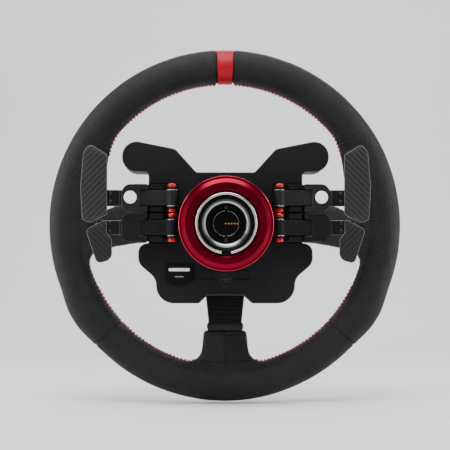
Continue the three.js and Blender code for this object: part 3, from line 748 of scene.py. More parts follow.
M_GOLD = anodised("contact_gold", (0.78, 0.46, 0.10), 0.3, 0.55, vary=0.06)
# painted shade: the clutch blades get darker copies of the shift blades' twill
M_BLADE_C = twill("clutch_twill_shaded_a", (0.0150, 0.0153, 0.0159), (0.0052, 0.0054, 0.0057), tow=1.4, flip=-1.0, rough=(0.46, 0.60), coat=0.05, specular=0.24, edge=(22.42, 23.05))
M_BLADE_D = twill("clutch_twill_shaded_b", (0.0150, 0.0153, 0.0159), (0.0052, 0.0054, 0.0057), tow=1.4, flip=1.0, rough=(0.46, 0.60), coat=0.05, specular=0.24, edge=(22.42, 23.05))
M_BLADE_A = twill("blade_twill_a", (0.0225, 0.0229, 0.0236), (0.0080, 0.0082, 0.0085), tow=1.4, flip=-1.0, rough=(0.42, 0.56), coat=0.08, specular=0.3, edge=(22.42, 23.05))
M_BLADE_B = twill("blade_twill_b", (0.0215, 0.0219, 0.0226), (0.0075, 0.0077, 0.0080), tow=1.4, flip=1.0, rough=(0.42, 0.56), coat=0.08, specular=0.3, edge=(22.42, 23.05))
M_PLATE = twill("plate_twill", (0.024, 0.025, 0.027), (0.007, 0.0072, 0.0077), tow=2.0, angle=math.radians(45), rough=(0.28, 0.42), coat=0.5)
M_WHITE = moulded("cap_white", (0.95, 0.95, 0.945), 0.38, grain=2600, strength=0.06, specular=0.5, vary=0.015)
M_MARK = moulded("mark_white", (0.84, 0.84, 0.84), 0.5, grain=2600, strength=0.05, vary=0.02)
M_MARK_GREY = moulded("mark_grey", (0.26, 0.26, 0.265), 0.5, grain=2600, strength=0.05, vary=0.02)
M_THREAD = thread("red_thread", (0.50, 0.005, 0.024))
M_KNOB = anodised("knob_black", (0.020, 0.020, 0.0215), 0.34, 0.8)
M_RUBBER = moulded("stick_rubber", (0.008, 0.008, 0.0085), 0.7, grain=2400, strength=0.4, specular=0.25)
M_BTN = {
    "red": moulded("button_red", (0.40, 0.008, 0.014), 0.34, grain=3400, strength=0.08, specular=0.5, vary=0.05),
    "grey": moulded("button_grey", (0.045, 0.047, 0.052), 0.36, grain=3400, strength=0.08, specular=0.5, vary=0.05),
    "blue": moulded("button_blue", (0.010, 0.060, 0.34), 0.34, grain=3400, strength=0.08, specular=0.5, vary=0.05),
    "green": moulded("button_green", (0.008, 0.21, 0.060), 0.34, grain=3400, strength=0.08, specular=0.5, vary=0.05),
}


def board_material():
    m = Mat("circuit_board", Specular_IOR_Level=0.5)
    x, y, z = m.xyz()
    tracks = m.voronoi(260, "DISTANCE_TO_EDGE", rand=0.35)
    line = m.ramp(tracks, 1.0, 0.0, 0.04, 0.09)
    m.set(Base_Color=m.mix(line, (0.006, 0.07, 0.022), (0.02, 0.16, 0.05)), Roughness=m.ramp(line, 0.45, 0.3), Normal=m.bump(line, 0.3, 0.00005))
    return m.m


M_BOARD = board_material()

# ------------------------------------------------------------------ rim grip
R0, A_RAD, A_DEP, YC = 148.9, 16.1, 14.2, 64.0


def sstep(a, b, x):
    t = np.clip((x - a) / (b - a), 0, 1)
    return t * t * (3 - 2 * t)


def rim_surface(theta, phi, grow=0.0):
    """Points on the grip. theta: place round the rim, 0 at +X. phi: place round the section, 0 outermost."""
    r = R0 + (A_RAD + grow) * np.cos(phi)
    y = YC + (A_DEP + grow) * np.sin(phi)
    x, z = r * np.cos(theta), r * np.sin(theta)
    a = np.degrees(np.arctan2(z, np.abs(x)))
    out = np.maximum(0, (r - R0) / A_RAD)
    inn = np.maximum(0, (R0 - r) / A_RAD)
    swell = 2.9 * sstep(-45, -33, a) * (1 - sstep(-31, -20, a))
    thumb = 12.5 * (1 - sstep(17, 41.5, a)) * sstep(-16, 0, a)
    nr = r + swell * out - thumb * inn
    return np.stack([x * nr / r, y, z * nr / r], -1)


def torus_grid(nu, nv, grow):
    th = np.linspace(0, 2 * math.pi, nu, endpoint=False)
    ph = np.linspace(0, 2 * math.pi, nv, endpoint=False)
    T, P = np.meshgrid(th, ph, indexing="ij")
    pts = rim_surface(T, P, grow).reshape(-1, 3)
    faces = []
    for i in range(nu):
        i2 = (i + 1) % nu
        for j in range(nv):
            j2 = (j + 1) % nv
            faces.append((i * nv + j, i2 * nv + j, i2 * nv + j2, i * nv + j2))
    return pts, faces


def soft_plate(corners, y0, y1, c):
    """An extruded polygon whose edges are rounded by c."""
    rings = []
    for k in range(6):
        g = math.pi / 2 * k / 5
        rings.append((corners_round(inset(corners, c * (1 - math.sin(g)), 0.6), 6), y0 + c * (1 - math.cos(g))))
    rings += [(p, y0 + y1 - y) for p, y in reversed(rings)]
    return rings_y(rings)


SIDE_BOOT = [(-71.7, 17, 2), (-102.5, 18.4, 8), (-112.8, 13.6, 4), (-115.6, 7, 2), (-140, 7, 2), (-144, -44, 2), (-127.4, -37, 2), (-126.2, -26.5, 10), (-105, -21, 8), (-82, -17.1, 3), (-71.7, -16.8, 2)]
BOTTOM_BOOT = [(-20.2, -98.6, 3.2), (20.2, -98.6, 3.2), (22.9, -130.8, 12), (45, -125.4, 1), (50, -144, 1), (-50, -144, 1), (-45, -125.4, 1), (-22.9, -130.8, 12)]
BOTTOM_COLLAR = [(-17, -92.2, 1.2), (17, -92.2, 1.2), (17, -102, 1), (-17, -102, 1)]

parts = [torus_grid(420, 64, 0.45), soft_plate(SIDE_BOOT, 55.8, 72.2, 5.5), soft_plate(flip_x(SIDE_BOOT), 55.8, 72.2, 5.5), soft_plate(BOTTOM_BOOT, 55.8, 72.2, 5.5)]
grip = new_object("grip_leather", *merge(*parts))
rm = grip.modifiers.new("remesh", "REMESH")
rm.mode = "VOXEL"
rm.voxel_size = 0.00112
rm.use_smooth_shade = True
sm = grip.modifiers.new("smooth", "SMOOTH")
sm.factor = 0.5
sm.iterations = 22
apply_mods(grip)


def read(o):
    me = o.data
    co = np.empty(len(me.vertices) * 3)
    me.vertices.foreach_get("co", co)
    no = np.empty(len(me.vertices) * 3)
    me.vertices.foreach_get("normal", no)
    return co.reshape(-1, 3) / MM, no.reshape(-1, 3)


def write(o, co):
    o.data.vertices.foreach_set("co", (co * MM).ravel())
    o.data.update()


def gauss(d, w):
    return np.exp(-((d / w) ** 2))


def fractal(co, scale, stretch=(1, 1, 1), octaves=2, seed=0.0):
    s = np.array(stretch) * scale
    return np.array([noise.fractal(Vector((p[0] * s[0] + seed, p[1] * s[1], p[2] * s[2])), 1.0, 2.0, octaves) for p in co])


co, no = read(grip)
rad = np.hypot(co[:, 0], co[:, 2])
ang = np.degrees(np.arctan2(co[:, 2], np.abs(co[:, 0])))
ax = np.abs(co[:, 0])
disp = np.zeros(len(co))
on_tube = sstep(127, 131, rad)
# cross seams of the leather panels
d = (ang + 43.0) * math.pi / 180 * rad
disp -= on_tube * (0.85 * gauss(d, 1.0) - 0.22 * (gauss(d - 2.4, 1.5) + gauss(d + 2.4, 1.5)))
# slack puckers beside the cross seams
disp += on_tube * 0.16 * np.cos(rad * 2.1 + co[:, 1] * 0.7) * gauss(np.abs(d) - 3, 3.0)
# edges of the marker band
top = (co[:, 2] > 100) * 1.0
dx = ax - 8.1
disp -= top * 0.9 * gauss(dx, 0.9)
disp -= top * 1.5 * (1 - sstep(7.4, 8.3, ax))
disp += top * 0.15 * gauss(dx - 3.2, 2.0)
# bottom boot: middle seam, cross seam, creases
low = (co[:, 2] < -98) * (rad < 129.5) * (ax < 24) * 1.0
wander = co[:, 0] - 0.34 * np.sin(co[:, 2] * 0.55) - 0.2 * np.sin(co[:, 2] * 1.45)
disp -= low * (0.65 * gauss(wander, 0.9) - 0.12 * gauss(np.abs(wander) - 2.3, 1.2))
near = (co[:, 2] < -90) * (ax < 25) * 1.0
disp -= near * 0.6 * gauss(rad - 129.0, 1.0) * (1 - sstep(20, 25, ax))
w = fractal(co[:, :], 0.055, (0.8, 1.0, 5.0), 3, 3.0)
crease = np.maximum(0, w) ** 1.2
boot = near * (1 - sstep(126, 131, rad))
disp -= boot * (1.15 * crease * (0.22 + 0.78 * sstep(-3, 6, co[:, 0])))
fan = gauss(rad - 133.5, 4.5) * (co[:, 2] < -120) * (1 - sstep(17, 26, ax))
disp += fan * 0.16 * np.cos(co[:, 0] * 2.3 + 0.6 * np.sin(co[:, 0] * 0.9))
# side boots: light creases
side = (ax < 112) * (np.abs(co[:, 2]) < 24) * 1.0
w2 = fractal(co[:, :], 0.06, (4.0, 1.0, 0.7), 2, 11.0)
disp -= side * 0.45 * np.maximum(0, w2)
# puckers running away from the stitched inner edge
inner = 1 - sstep(133.0, 146.0, rad)
pull = on_tube * inner * gauss(co[:, 1] - 62.0, 9.0)
theta = np.arctan2(co[:, 2], co[:, 0])
disp += pull * 0.24 * np.cos(theta * 210)
w3 = fractal(co[:, :], 0.16, (1, 1, 1), 2, 5.0)
disp += on_tube * (0.16 * inner + 0.05) * w3
# hand-stretched leather is never quite even
disp += 0.18 * fractal(co[:, :], 0.022, (1, 1, 1), 2, 9.0)
# seam under the stitches
stitch_zone = on_tube * (1 - sstep(133.2, 135.5, rad)) * (ang > 30)
disp -= 0.35 * stitch_zone * gauss(co[:, 1] - 62.0, 0.9)
write(grip, co + no * disp[:, None])
piece(grip, "wheel", M_LEATHER, ["rim_grip"], smooth=180)

# ------------------------------------------------------------------ red thread along the inner edge
bvh = BVHTree.FromObject(grip, bpy.context.evaluated_depsgraph_get())


def inner_hit(theta, y):
    """Where the grip's inside is, at an angle round the rim and a depth."""
    d = Vector((math.cos(theta), 0, math.sin(theta)))
    hit, nrm, _, _ = bvh.ray_cast(Vector((0, y * MM, 0)) + d * 0.1005, d)
    if hit is None:
        return None, None
    return np.array(hit) / MM, np.array(nrm)


stitches = []
PITCH = 3.6
Y0, Y1 = 59.7, 68.3
ranges = [(30.5, 86.4), (93.6, 149.5), (205.5, 257.5), (282.5, 334.5)]
for a0, a1 in ranges:
    n = int((a1 - a0) * math.pi / 180 * 133 / PITCH)
    for i in range(n):
        t0 = math.radians(a0 + (a1 - a0) * (i + 0.12) / n)
        t1 = math.radians(a0 + (a1 - a0) * (i + 0.88) / n)
        for ta, tb in ((t0, t1), (t1, t0)):
            pts, ok = [], True
            for k in range(7):
                f = k / 6
                h, nr = inner_hit(ta + (tb - ta) * f, Y0 + (Y1 - Y0) * f)
                if h is None or np.hypot(h[0], h[2]) < 104:
                    ok = False
                    break
                lift = 0.34 * math.sin(math.pi * f) - 0.14 + (0.24 if (ta < tb) and 0.3 < f < 0.7 else 0)
                pts.append(h + nr * (0.20 + lift))
            if ok:
                stitches.append(sweep(pts, 0.34, 6, radii=[0.2, 0.3, 0.34, 0.34, 0.34, 0.3, 0.2]))
if stitches:
    piece(new_object("inner_stitching", *merge(*stitches)), "wheel", M_THREAD, smooth=60)

# ------------------------------------------------------------------ red marker band
def band():
    half = 7.45
    us = np.concatenate([[-half, -half * 0.985, -half * 0.95], np.linspace(-half * 0.88, half * 0.88, 13), [half * 0.95, half * 0.985, half]])
    lift = [-0.9, -0.35, 0.05] + [0.28] * 13 + [0.05, -0.35, -0.9]
    nv = 96
    verts, faces = [], []
    rows = []
    for side, offs in (("out", lift), ("in", [-1.2] * len(us))):
        for u, g in zip(us, offs):
            th = math.pi / 2 - u / R0
            ph = np.linspace(0, 2 * math.pi, nv, endpoint=False)
            rows.append(len(verts))
            verts += [tuple(p) for p in rim_surface(np.full(nv, th), ph, g)]
    m = len(us)
    order = rows[:m] + rows[m:][::-1]
    for a, b in zip(order, order[1:] + order[:1]):
        for i in range(nv):
            j = (i + 1) % nv
            faces.append((a + i, b + i, b + j, a + j))
    return verts, faces


piece(new_object("marker_band", *band()), "wheel", M_RED_LEATHER, ["rim_centre_stripe"], smooth=55)

# ------------------------------------------------------------------ bottom spoke sleeve and its collar
def sleeve():
    nz, nv = 60, 72
    verts, faces = [], []
    for i in range(nz + 1):
        f = i / nz
        z = -66.0 - f * (91.9 - 66.0)
        hw = 17.7 + (15.1 - 17.7) * f
        for j in range(nv):
            g = 2 * math.pi * j / nv
            cx, cy = math.cos(g), math.sin(g)
            e = 0.26
            x = hw * math.copysign(abs(cx) ** e, cx)
            y = 64 + 6.6 * math.copysign(abs(cy) ** e, cy)
            w = noise.fractal(Vector((x * 0.05, y * 0.05, z * 0.42)), 1.0, 2.0, 3)
            w2 = noise.noise(Vector((x * 0.12, 3.3, z * 0.9)))
            s = 0.45 * w + 0.18 * w2
            verts.append((x + math.copysign(s * 0.5, cx) * abs(cx), y + cy * s, z))
    for i in range(nz):
        for j in range(nv):
            k = (j + 1) % nv
            faces.append((i * nv + j, (i + 1) * nv + j, (i + 1) * nv + k, i * nv + k))
    faces.append(tuple(range(nv)))
    faces.append(tuple(reversed(range(nz * nv, (nz + 1) * nv))))
    return verts, faces


piece(new_object("spoke_sleeve", *sleeve()), "wheel", M_SLEEVE, ["bottom_spoke_sleeve"], smooth=50)


# cords down the sleeve's sides, in the lighter welt leather as a painted highlight
welts = []
for sx in (-1, 1):
    for yy in (59.3, 68.7):
        pts = [(sx * (17.62 + (15.02 - 17.62) * f), yy, -66.2 - f * (91.6 - 66.2)) for f in [k / 24 for k in range(25)]]
        welts.append(sweep(pts, 0.5, 10))
piece(new_object("sleeve_welts", *merge(*welts)), "wheel", M_WELT_HIGHLIGHT, smooth=60)


def boot_collar():
    nz, nv = 20, 96
    verts, faces = [], []
    for i in range(nz + 1):
        f = i / nz
        z = -91.7 - f * 7.4
        bulge = math.sin(math.pi * min(1, f * 1.02)) ** 0.5
        hw = 15.8 + 1.3 * bulge
        hd = 6.6 + 1.2 * bulge
        for j in range(nv):
            g = 2 * math.pi * j / nv
            cx, cy = math.cos(g), math.sin(g)
            e = 0.3
            x = hw * math.copysign(abs(cx) ** e, cx)
            y = 64 + hd * math.copysign(abs(cy) ** e, cy)
            w = noise.fractal(Vector((x * 0.22, y * 0.1 + 7, z * 0.35)), 1.0, 2.0, 3) * 0.35
            w -= 0.5 * math.exp(-((x / 0.8) ** 2))
            verts.append((x, y + cy * w, z))
    for i in range(nz):
        for j in range(nv):
            k = (j + 1) % nv
            faces.append((i * nv + j, (i + 1) * nv + j, (i + 1) * nv + k, i * nv + k))
    faces.append(tuple(range(nv)))
    faces.append(tuple(reversed(range(nz * nv, (nz + 1) * nv))))
    return verts, faces


piece(new_object("boot_collar", *boot_collar()), "wheel", M_COLLAR_LEATHER, smooth=50)

# ------------------------------------------------------------------ hub shells
U = 0.2183


def at(x, y, r):
    return ((x - 785) * U, (781 - y) * U, r)


HUB_L = [at(661, 560, 4), at(571.5, 461.3, 7), at(346.5, 416.7, 13.4), at(346.5, 558.7, 13.4), at(459, 558.7, 4), at(459, 862, 1.2), at(415.3, 862, 9.4), at(415.3, 947.3, 12), at(490.9, 1012.3, 13), at(490.9, 1116.5, 16.5), at(672, 1116.5, 3), at(707.6, 1082.4, 3)]
HUB = HUB_L + flip_x(HUB_L)[::-1]


def hub_rings(levels, seg=12):
    return rings_y([(corners_round(inset(HUB, d, 0.3), seg), y) for d, y in levels])


SPOKE_SIDE = [(-150, -18), (-100, -15.6), (-30, -13.6), (-30, 13.6), (-100, 9.6), (-150, 5.6)]
SPOKE_LOW = [(-13.6, -30), (-12.6, -92), (-14.6, -150), (14.6, -150), (12.6, -92), (13.6, -30)]


def prism_y(poly, y0, y1):
    return rings_y([(poly, y0), (poly, y1)])


slots = [prism_y(SPOKE_SIDE, 61.5, 66.9), prism_y(flip_x(SPOKE_SIDE), 61.5, 66.9), prism_y(SPOKE_LOW, 61.5, 66.9)]
bolts = [(35 * math.cos(math.radians(30 + 60 * i)), 35 * math.sin(math.radians(30 + 60 * i))) for i in range(6)]


def slot_poly(x0, x1, z0, z1, r=0.45):
    return [(x0, z0, r), (x1, z0, r), (x1, z1, r), (x0, z1, r)]


rear_cuts = [hub_rings([(2.6, 39.0), (2.6, 70.0)], 8), rod_y(0, 0, 24, 30, 80, 96)] + slots
rear_cuts += [plate(slot_poly(-51, -34.5, -50, -40, 1.2), 30, 45)]
rear_cuts += [rod_y(0, -51.4, 7.1, 30, 37.6, 72), plate(slot_poly(-3.7, 3.7, -61.0, -50, 0.8), 30, 37.6)]
for s in (-1, 1):
    rear_cuts.append(plate(slot_poly(*sorted((s * 9.3, s * 22.8)), -51.2, -50.0, 0.5), 30, 37.6))
    rear_cuts.append(plate(slot_poly(*sorted((s * 11.8, s * 23.2)), -43.2, -42.0, 0.5), 30, 37.6))
    rear_cuts.append(plate(slot_poly(*sorted((s * 43.3, s * 73.0)), -17.6, 37.8, 1.6), 30, 37.4))
rear = solid("rear_shell", hub_rings([(1.15, 36.0), (0.42, 36.2), (0, 36.9), (0, 65.9), (0.25, 66.3)]), cut=rear_cuts)
machined(rear, 0.18, 2, 40)
piece(rear, "wheel", M_HOUSING, ["rear_housing"])

front_rings = hub_rings([(0.25, 66.6), (0, 66.9), (0, 81.2), (0.3, 81.75), (0.8, 82.0)])
front = solid("front_shell", front_rings, cut=[hub_rings([(2.6, 60), (2.6, 79.6)], 8), hub_rings([(5.4, 79), (5.4, 90)], 8)])
machined(front, 0.15, 2, 40)
piece(front, "wheel", M_HOUSING, ["front_housing"])

# ------------------------------------------------------------------ driver's face
BUTTONS = {"upper_outer": (82, 62.4, "red"), "upper_inner": (62.5, 57, "grey"), "middle": (34, 33, "blue"), "lower": (55, 6, "green")}
KNOBS = {"left": (46, -50), "centre": (0, -46), "right": (-46, -50)}
STICKS = {"left": (55, 32), "right": (-55, 32)}
SIDE = {"left": 1, "right": -1}
face_cuts = []
for x, z, _ in BUTTONS.values():
    for s in (-1, 1):
        face_cuts.append(rod_y(s * x, z, 5.6, 78, 90, 64))
for x, z in KNOBS.values():
    face_cuts.append(rod_y(x, z, 3.7, 78, 90, 48))
for x, z in STICKS.values():
    face_cuts.append(rod_y(x, z, 8.4, 78, 90, 72))
face = solid("face_plate", hub_rings([(0.9, 82.3), (0.6, 82.6), (0.6, 84.6), (0.8, 85.1), (1.3, 85.3)]), cut=face_cuts)
machined(face, 0.22, 2, 40)
piece(face, "wheel", M_PLATE, ["front_plate"])

bezels = []
for x, z, _ in BUTTONS.values():
    for s in (-1, 1):
        prof = fillet([(5.75, 85.35), (8.0, 85.35), (8.0, 86.2), (7.2, 86.9), (6.1, 86.9), (5.75, 86.4)], 0.25, 3)
        bezels.append(lathe(prof, 64, s * x, z))
for x, z in STICKS.values():
    prof = fillet([(8.5, 85.35), (11.6, 85.35), (11.6, 86.0), (10.6, 86.7), (9.0, 86.7), (8.5, 86.2)], 0.3, 3)
    bezels.append(lathe(prof, 72, x, z))
for x, z in KNOBS.values():
    prof = fillet([(3.75, 85.35), (10.4, 85.35), (10.4, 85.8), (9.9, 86.1), (3.75, 86.1)], 0.2, 3)
    bezels.append(lathe(prof, 72, x, z))
piece(new_object("control_bezels", *merge(*bezels)), "wheel", M_BASE, smooth=35)

# socket-head screws round the face, and long ticks round the knobs
screws = []
for x, z in [(88.5, 70.5), (70, 70.5), (40, 58), (64.5, 45.5), (66, 20), (66, -12), (76, -28), (60, -64), (31, -67.5), (18, 42), (22, -14)]:
    for s in (-1, 1):
        prof = fillet([(0, 84.2), (2.3, 84.2), (2.3, 86.4), (1.25, 86.4), (1.25, 85.2), (0, 85.2)], [0.1, 0.45, 0.15, 0.1], 3)
        if all(math.hypot(s * x - bx * t, z - bz) > 10.0 for bx, bz, _ in BUTTONS.values() for t in (-1, 1)) and all(math.hypot(s * x - kx, z - kz) > 14 for kx, kz in list(KNOBS.values()) + list(STICKS.values())):
            screws.append(lathe(prof, 36, s * x, z))
piece(new_object("face_screws", *merge(*screws)), "wheel", M_DARK_STEEL, smooth=30)

ticks = []
for x, z in KNOBS.values():
    for k in range(11):
        g = math.radians(-150 + 30 * k)
        dx, dz = math.sin(g), math.cos(g)
        px, pz = dz, -dx
        a, b, w = 11.2, 13.0 if k % 5 else 13.8, 0.28
        quad = [(x + dx * a + px * w, z + dz * a + pz * w), (x + dx * b + px * w, z + dz * b + pz * w), (x + dx * b - px * w, z + dz * b - pz * w), (x + dx * a - px * w, z + dz * a - pz * w)]
        ticks.append(prism_y(quad, 85.28, 85.42))
piece(new_object("knob_ticks", *merge(*ticks)), "wheel", M_MARK)

for key, (x, z, col) in BUTTONS.items():
    for side, s in SIDE.items():
        prof = fillet([(0, 78), (6.3, 78), (6.3, 81.2), (5.1, 81.6), (5.1, 88.1), (4.2, 88.35), (1.5, 87.95), (0, 87.9)], [0.3, 0.3, 0.2, 0.2, 0.7, 0.5, 0], 5)
        b = new_object(f"push_{key}_{side}", *lathe(prof, 72, s * x, z))
        piece(b, f"button_{key}_{side}_body", M_BTN[col], [f"button_{key}_{side}"], smooth=35)

for side, (x, z) in KNOBS.items():
    n = 36
    rings = []
    for y, rr, dep in ((86.6, 8.4, 0.2), (87.1, 9.0, 0.55), (95.9, 8.9, 0.55), (96.6, 8.4, 0.3)):
        pts = []
        for i in range(n * 6):
            g = 2 * math.pi * i / (n * 6)
            k = 0.5 + 0.5 * math.cos(g * n)
            pts.append((x + (rr - dep * (1 - k ** 0.6)) * math.cos(g), z + (rr - dep * (1 - k ** 0.6)) * math.sin(g)))
        rings.append((pts, y))
    prof_cap = fillet([(0, 96.4), (7.6, 96.4), (7.6, 97.9), (6.6, 98.3), (0, 98.3)], [0.1, 0.3, 0.4, 0.0][:3] , 4)
    k = new_object(f"rotary_{side}", *merge(rings_y(rings), lathe(fillet([(0, 96.3), (7.7, 96.3), (7.7, 97.8), (6.9, 98.35), (0, 98.1)], 0.35, 4), 96, x, z), rod_y(x, z, 3.1, 76.5, 86.8, 32)))
    piece(k, f"knob_{side}_body", M_KNOB, [f"knob_{side}"], smooth=40)
    line = plate([(x - 0.45, z + 1.2, 0.3), (x + 0.45, z + 1.2, 0.3), (x + 0.45, z + 6.6, 0.3), (x - 0.45, z + 6.6, 0.3)], 98.0, 98.4, 0, 0.05)
    piece(new_object(f"rotary_line_{side}", *line), f"knob_{side}_body", M_MARK)

for side, (x, z) in STICKS.items():
    g = new_object(f"stick_gimbal_{side}", *lathe(fillet([(4.4, 77.4), (6.6, 77.4), (6.6, 80.2), (4.4, 80.2)], 0.2, 3), 64, x, z))
    piece(g, f"joystick_gimbal_{side}_body", M_DARK_STEEL, [f"joystick_gimbal_{side}"], smooth=35)
    prof = [(0, 76.2), (3.1, 76.2), (3.1, 87.6), (4.6, 88.9), (6.6, 90.1), (7.3, 91.4), (7.3, 94.4), (6.7, 95.3), (5.6, 95.3), (4.4, 94.5), (2.2, 93.9), (0, 93.8)]
    st = new_object(f"thumb_stick_{side}", *lathe(fillet(prof, [0.2, 0.8, 0.8, 0.8, 0.6, 0.5, 0.5, 0.4, 0.6, 0.8], 5), 96, x, z))
    # knurl on the rim of the cap
    c, nn = read(st)
    rr = np.hypot(c[:, 0] - x, c[:, 2] - z)
    gg = np.arctan2(c[:, 2] - z, c[:, 0] - x)
    lift = (rr > 6.9) * 0.18 * np.cos(gg * 24)
    write(st, c + nn * lift[:, None])
    piece(st, f"joystick_{side}_body", M_RUBBER, [f"joystick_{side}"], smooth=40)

# ------------------------------------------------------------------ quick release
collar_prof = [(30.35, 3.75), (30.72, 3.3), (37.2, 3.3), (40.9, 6.2), (42.7, 6.2), (43.35, 6.9), (43.35, 11.0), (42.4, 12.0), (37.5, 13.2), (36.0, 15.0), (36.0, 22.0), (32.7, 22.0), (32.7, 10.0), (28.6, 10.0), (28.6, 8.0), (30.35, 8.0)]
prof = fillet(collar_prof + [collar_prof[0]], [0.15, 0.3, 0.25, 0.35, 0.35, 0.5, 0.6, 1.2, 1.0, 0.4, 0.4, 0.3, 0.2, 0.2, 0.3], 5)[:-1]
piece(new_object("release_ring", *lathe(prof, 180)), "release_collar", M_COLLAR, ["qr_release_collar"], smooth=30)

lip = [(25.75, 1.5), (25.75, 0.55), (26.2, 0.05), (27.4, 0.05), (27.85, 0.5), (27.85, 1.5)]
key = [(-4.4, -31, 0.8), (4.4, -31, 0.8), (4.4, -23, 0.8), (-4.4, -23, 0.8)]
lp = solid("release_lip", lathe(fillet(lip + [lip[0]], [0.2, 0.25, 0.3, 0.25, 0.1], 4)[:-1], 200), cut=[plate(key, -2, 6)])
piece(lp, "wheel", M_STEEL, smooth=32)
sock = [(25.9, 1.5), (27.9, 1.5), (28.0, 2.2), (28.0, 30.0), (40.0, 30.0), (40.0, 35.7), (20.4, 35.7), (20.4, 13.4), (21.0, 12.6), (25.2, 11.0), (25.9, 9.6)]
prof = fillet(sock + [sock[0]], [0.1, 0.3, 0.8, 0.5, 0.5, 0.3, 0.3, 0.4, 0.4, 0.4], 4)[:-1]
cuts = [plate(key, -2, 6)] + [rod_y(bx, bz, 2.9, 28, 40, 32) for bx, bz in bolts]
sk = solid("release_socket", lathe(prof, 180), cut=cuts)
smooth_by_angle(sk, 30)
piece(sk, "wheel", M_BODY_STEEL, ["qr_socket_body"])

# black liner inside the socket, with its steps and bright rings
liner = [(25.75, 2.6), (25.75, 9.7), (25.0, 10.9), (21.2, 12.5), (20.25, 13.7), (20.25, 20), (18.9, 20), (18.9, 13.2), (19.6, 12.6), (21.0, 11.6), (24.2, 10.2), (24.9, 9.2), (24.9, 2.6)]
prof = fillet(liner + [liner[0]], 0.25, 3)[:-1]
piece(new_object("socket_liner", *lathe(prof, 160)), "wheel", M_SOCKET, smooth=30)
cone = [(20.35, 11.62), (20.42, 11.75), (20.35, 13.4), (18.75, 13.4), (18.68, 12.95), (18.75, 12.78)]
step = [(21.95, 10.62), (22.05, 10.75), (21.95, 11.6), (20.6, 12.2), (20.55, 11.68), (20.6, 11.5)]
piece(new_object("socket_cone", *lathe(fillet(cone + [cone[0]], 0.06, 2)[:-1], 180)), "wheel", M_BRIGHT, smooth=40)
piece(new_object("socket_step", *lathe(fillet(step + [step[0]], 0.06, 2)[:-1], 180)), "wheel", M_STEP, smooth=40)

blk = [(0, 30), (0, 14.6), (11.9, 14.6), (12.1, 14.45), (12.35, 14.6), (12.5, 15.3), (17.9, 15.3), (17.9, 14.2), (18.1, 13.9), (18.65, 13.9), (18.65, 30)]
blk_prof = fillet([(0, 14.6)] + blk[2:], 0.08, 2)
cb = solid("contact_carrier", lathe(blk_prof + [(0, 30)], 144), cut=[plate([(-1.7, -1.05, 0.4), (11.8, -1.05, 0.4), (11.8, 1.05, 0.4), (-1.7, 1.05, 0.4)], 12, 15.6)])
smooth_by_angle(cb, 30)
piece(cb, "wheel", M_SOCKET, ["contact_block"])
ring_line = lathe([(11.7 + 0.15 * math.cos(t), 14.55 + 0.15 * math.sin(t)) for t in [2 * math.pi * k / 10 for k in range(10)]], 160)
ring_line = solid("carrier_edge", ring_line, cut=[block(-1.0, 1.0, 13, 16, 10, 14), block(-1.0, 1.0, 13, 16, -14, -10)])
piece(ring_line, "wheel", M_BRIGHT, smooth=60)
pins = [lathe(fillet([(0, 15.5), (0.72, 15.5), (0.72, 14.3), (0.5, 14.05), (0, 14.0)], [0.05, 0.12, 0.1], 3), 24, -0.3 + 2.66 * i, 0) for i in range(5)]
piece(new_object("contact_tips", *merge(*pins)), "wheel", M_GOLD, ["contact_pins"], smooth=40)
cs = []
for zz in (15.1, -15.1):
    prof = fillet([(0, 15.6), (1.7, 15.6), (1.7, 14.9), (0.7, 14.7), (0.7, 15.1), (0, 15.1)], [0.1, 0.2, 0.1, 0.1], 3)
    cs.append(lathe(prof, 30, 0, zz))
piece(new_object("carrier_screws", *merge(*cs)), "wheel", M_DARK_STEEL, smooth=35)


def helix(x, z, r, wire, y0, y1, turns, per=28, sides=10):
    n = int(turns * per)
    pts = []
    for i in range(n + 1):
        t = i / n
        f = t
        e = 0.18
        g = 2 * math.pi * turns * t
        pts.append((x + r * math.cos(g), y0 + wire + (y1 - y0 - 2 * wire) * f, z + r * math.sin(g)))
    return sweep(pts, wire, sides)


sp = new_object("collar_coil", *helix(0, 0, 30.4, 0.8, 10.4, 29.6, 4, 48))
piece(sp, "wheel", M_DARK_STEEL, ["qr_collar_spring"], smooth=60)
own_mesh(sp)

for i, (bx, bz) in enumerate(bolts):
    prof = fillet([(0, 31.0), (2.0, 31.0), (2.5, 31.5), (2.5, 66.35), (4.4, 66.35), (4.4, 70.6), (4.0, 71.0), (2.2, 71.0), (2.2, 68.6), (0, 68.4)], [0.1, 0.1, 0.1, 0.2, 0.2, 0.2, 0.2, 0.1], 3)
    b = new_object(f"hub_screw_{i + 1}", *lathe(prof, 36, bx, bz))
    piece(b, "wheel", M_DARK_STEEL, [f"hub_bolt_{i + 1}"], smooth=35)

# ------------------------------------------------------------------ rear ports
cover = [(-56.3, -36.4, 1.8), (-29, -36.4, 1.8), (-29, -53.2, 1.8), (-34.6, -53.2, 0.9), (-36.6, -56.4, 1.6), (-49.8, -56.4, 1.6), (-51.8, -53.2, 0.9), (-56.3, -53.2, 1.8)]
cv = new_object("port_plug", *merge(plate(cover, 34.4, 35.9, 0.5, 0.1), plate(slot_poly(-50.6, -34.9, -49.6, -40.4, 1.2), 35.8, 42)))
piece(cv, "wheel", M_SOFT, ["port_cover"], smooth=35)
rim_line = solid("port_plug_lip", plate(inset(cover, 1.1, 0.5), 34.15, 34.6, 0.12, 0), cut=[plate(inset(cover, 1.9, 0.4), 30, 36)])
machined(rim_line, 0.08, 1, 40)
piece(rim_line, "wheel", M_SOFT)
piece(new_object("port_mark", *plate(slot_poly(-52.6, -33.0, -43.4, -40.6, 1.2), 34.28, 34.46, 0.04, 0)), "wheel", M_MARK, smooth=35)
piece(new_object("port_mark_small", *plate(slot_poly(-46.9, -38.9, -48.9, -48.0, 0.4), 34.28, 34.46, 0.03, 0)), "wheel", M_MARK_GREY, smooth=35)

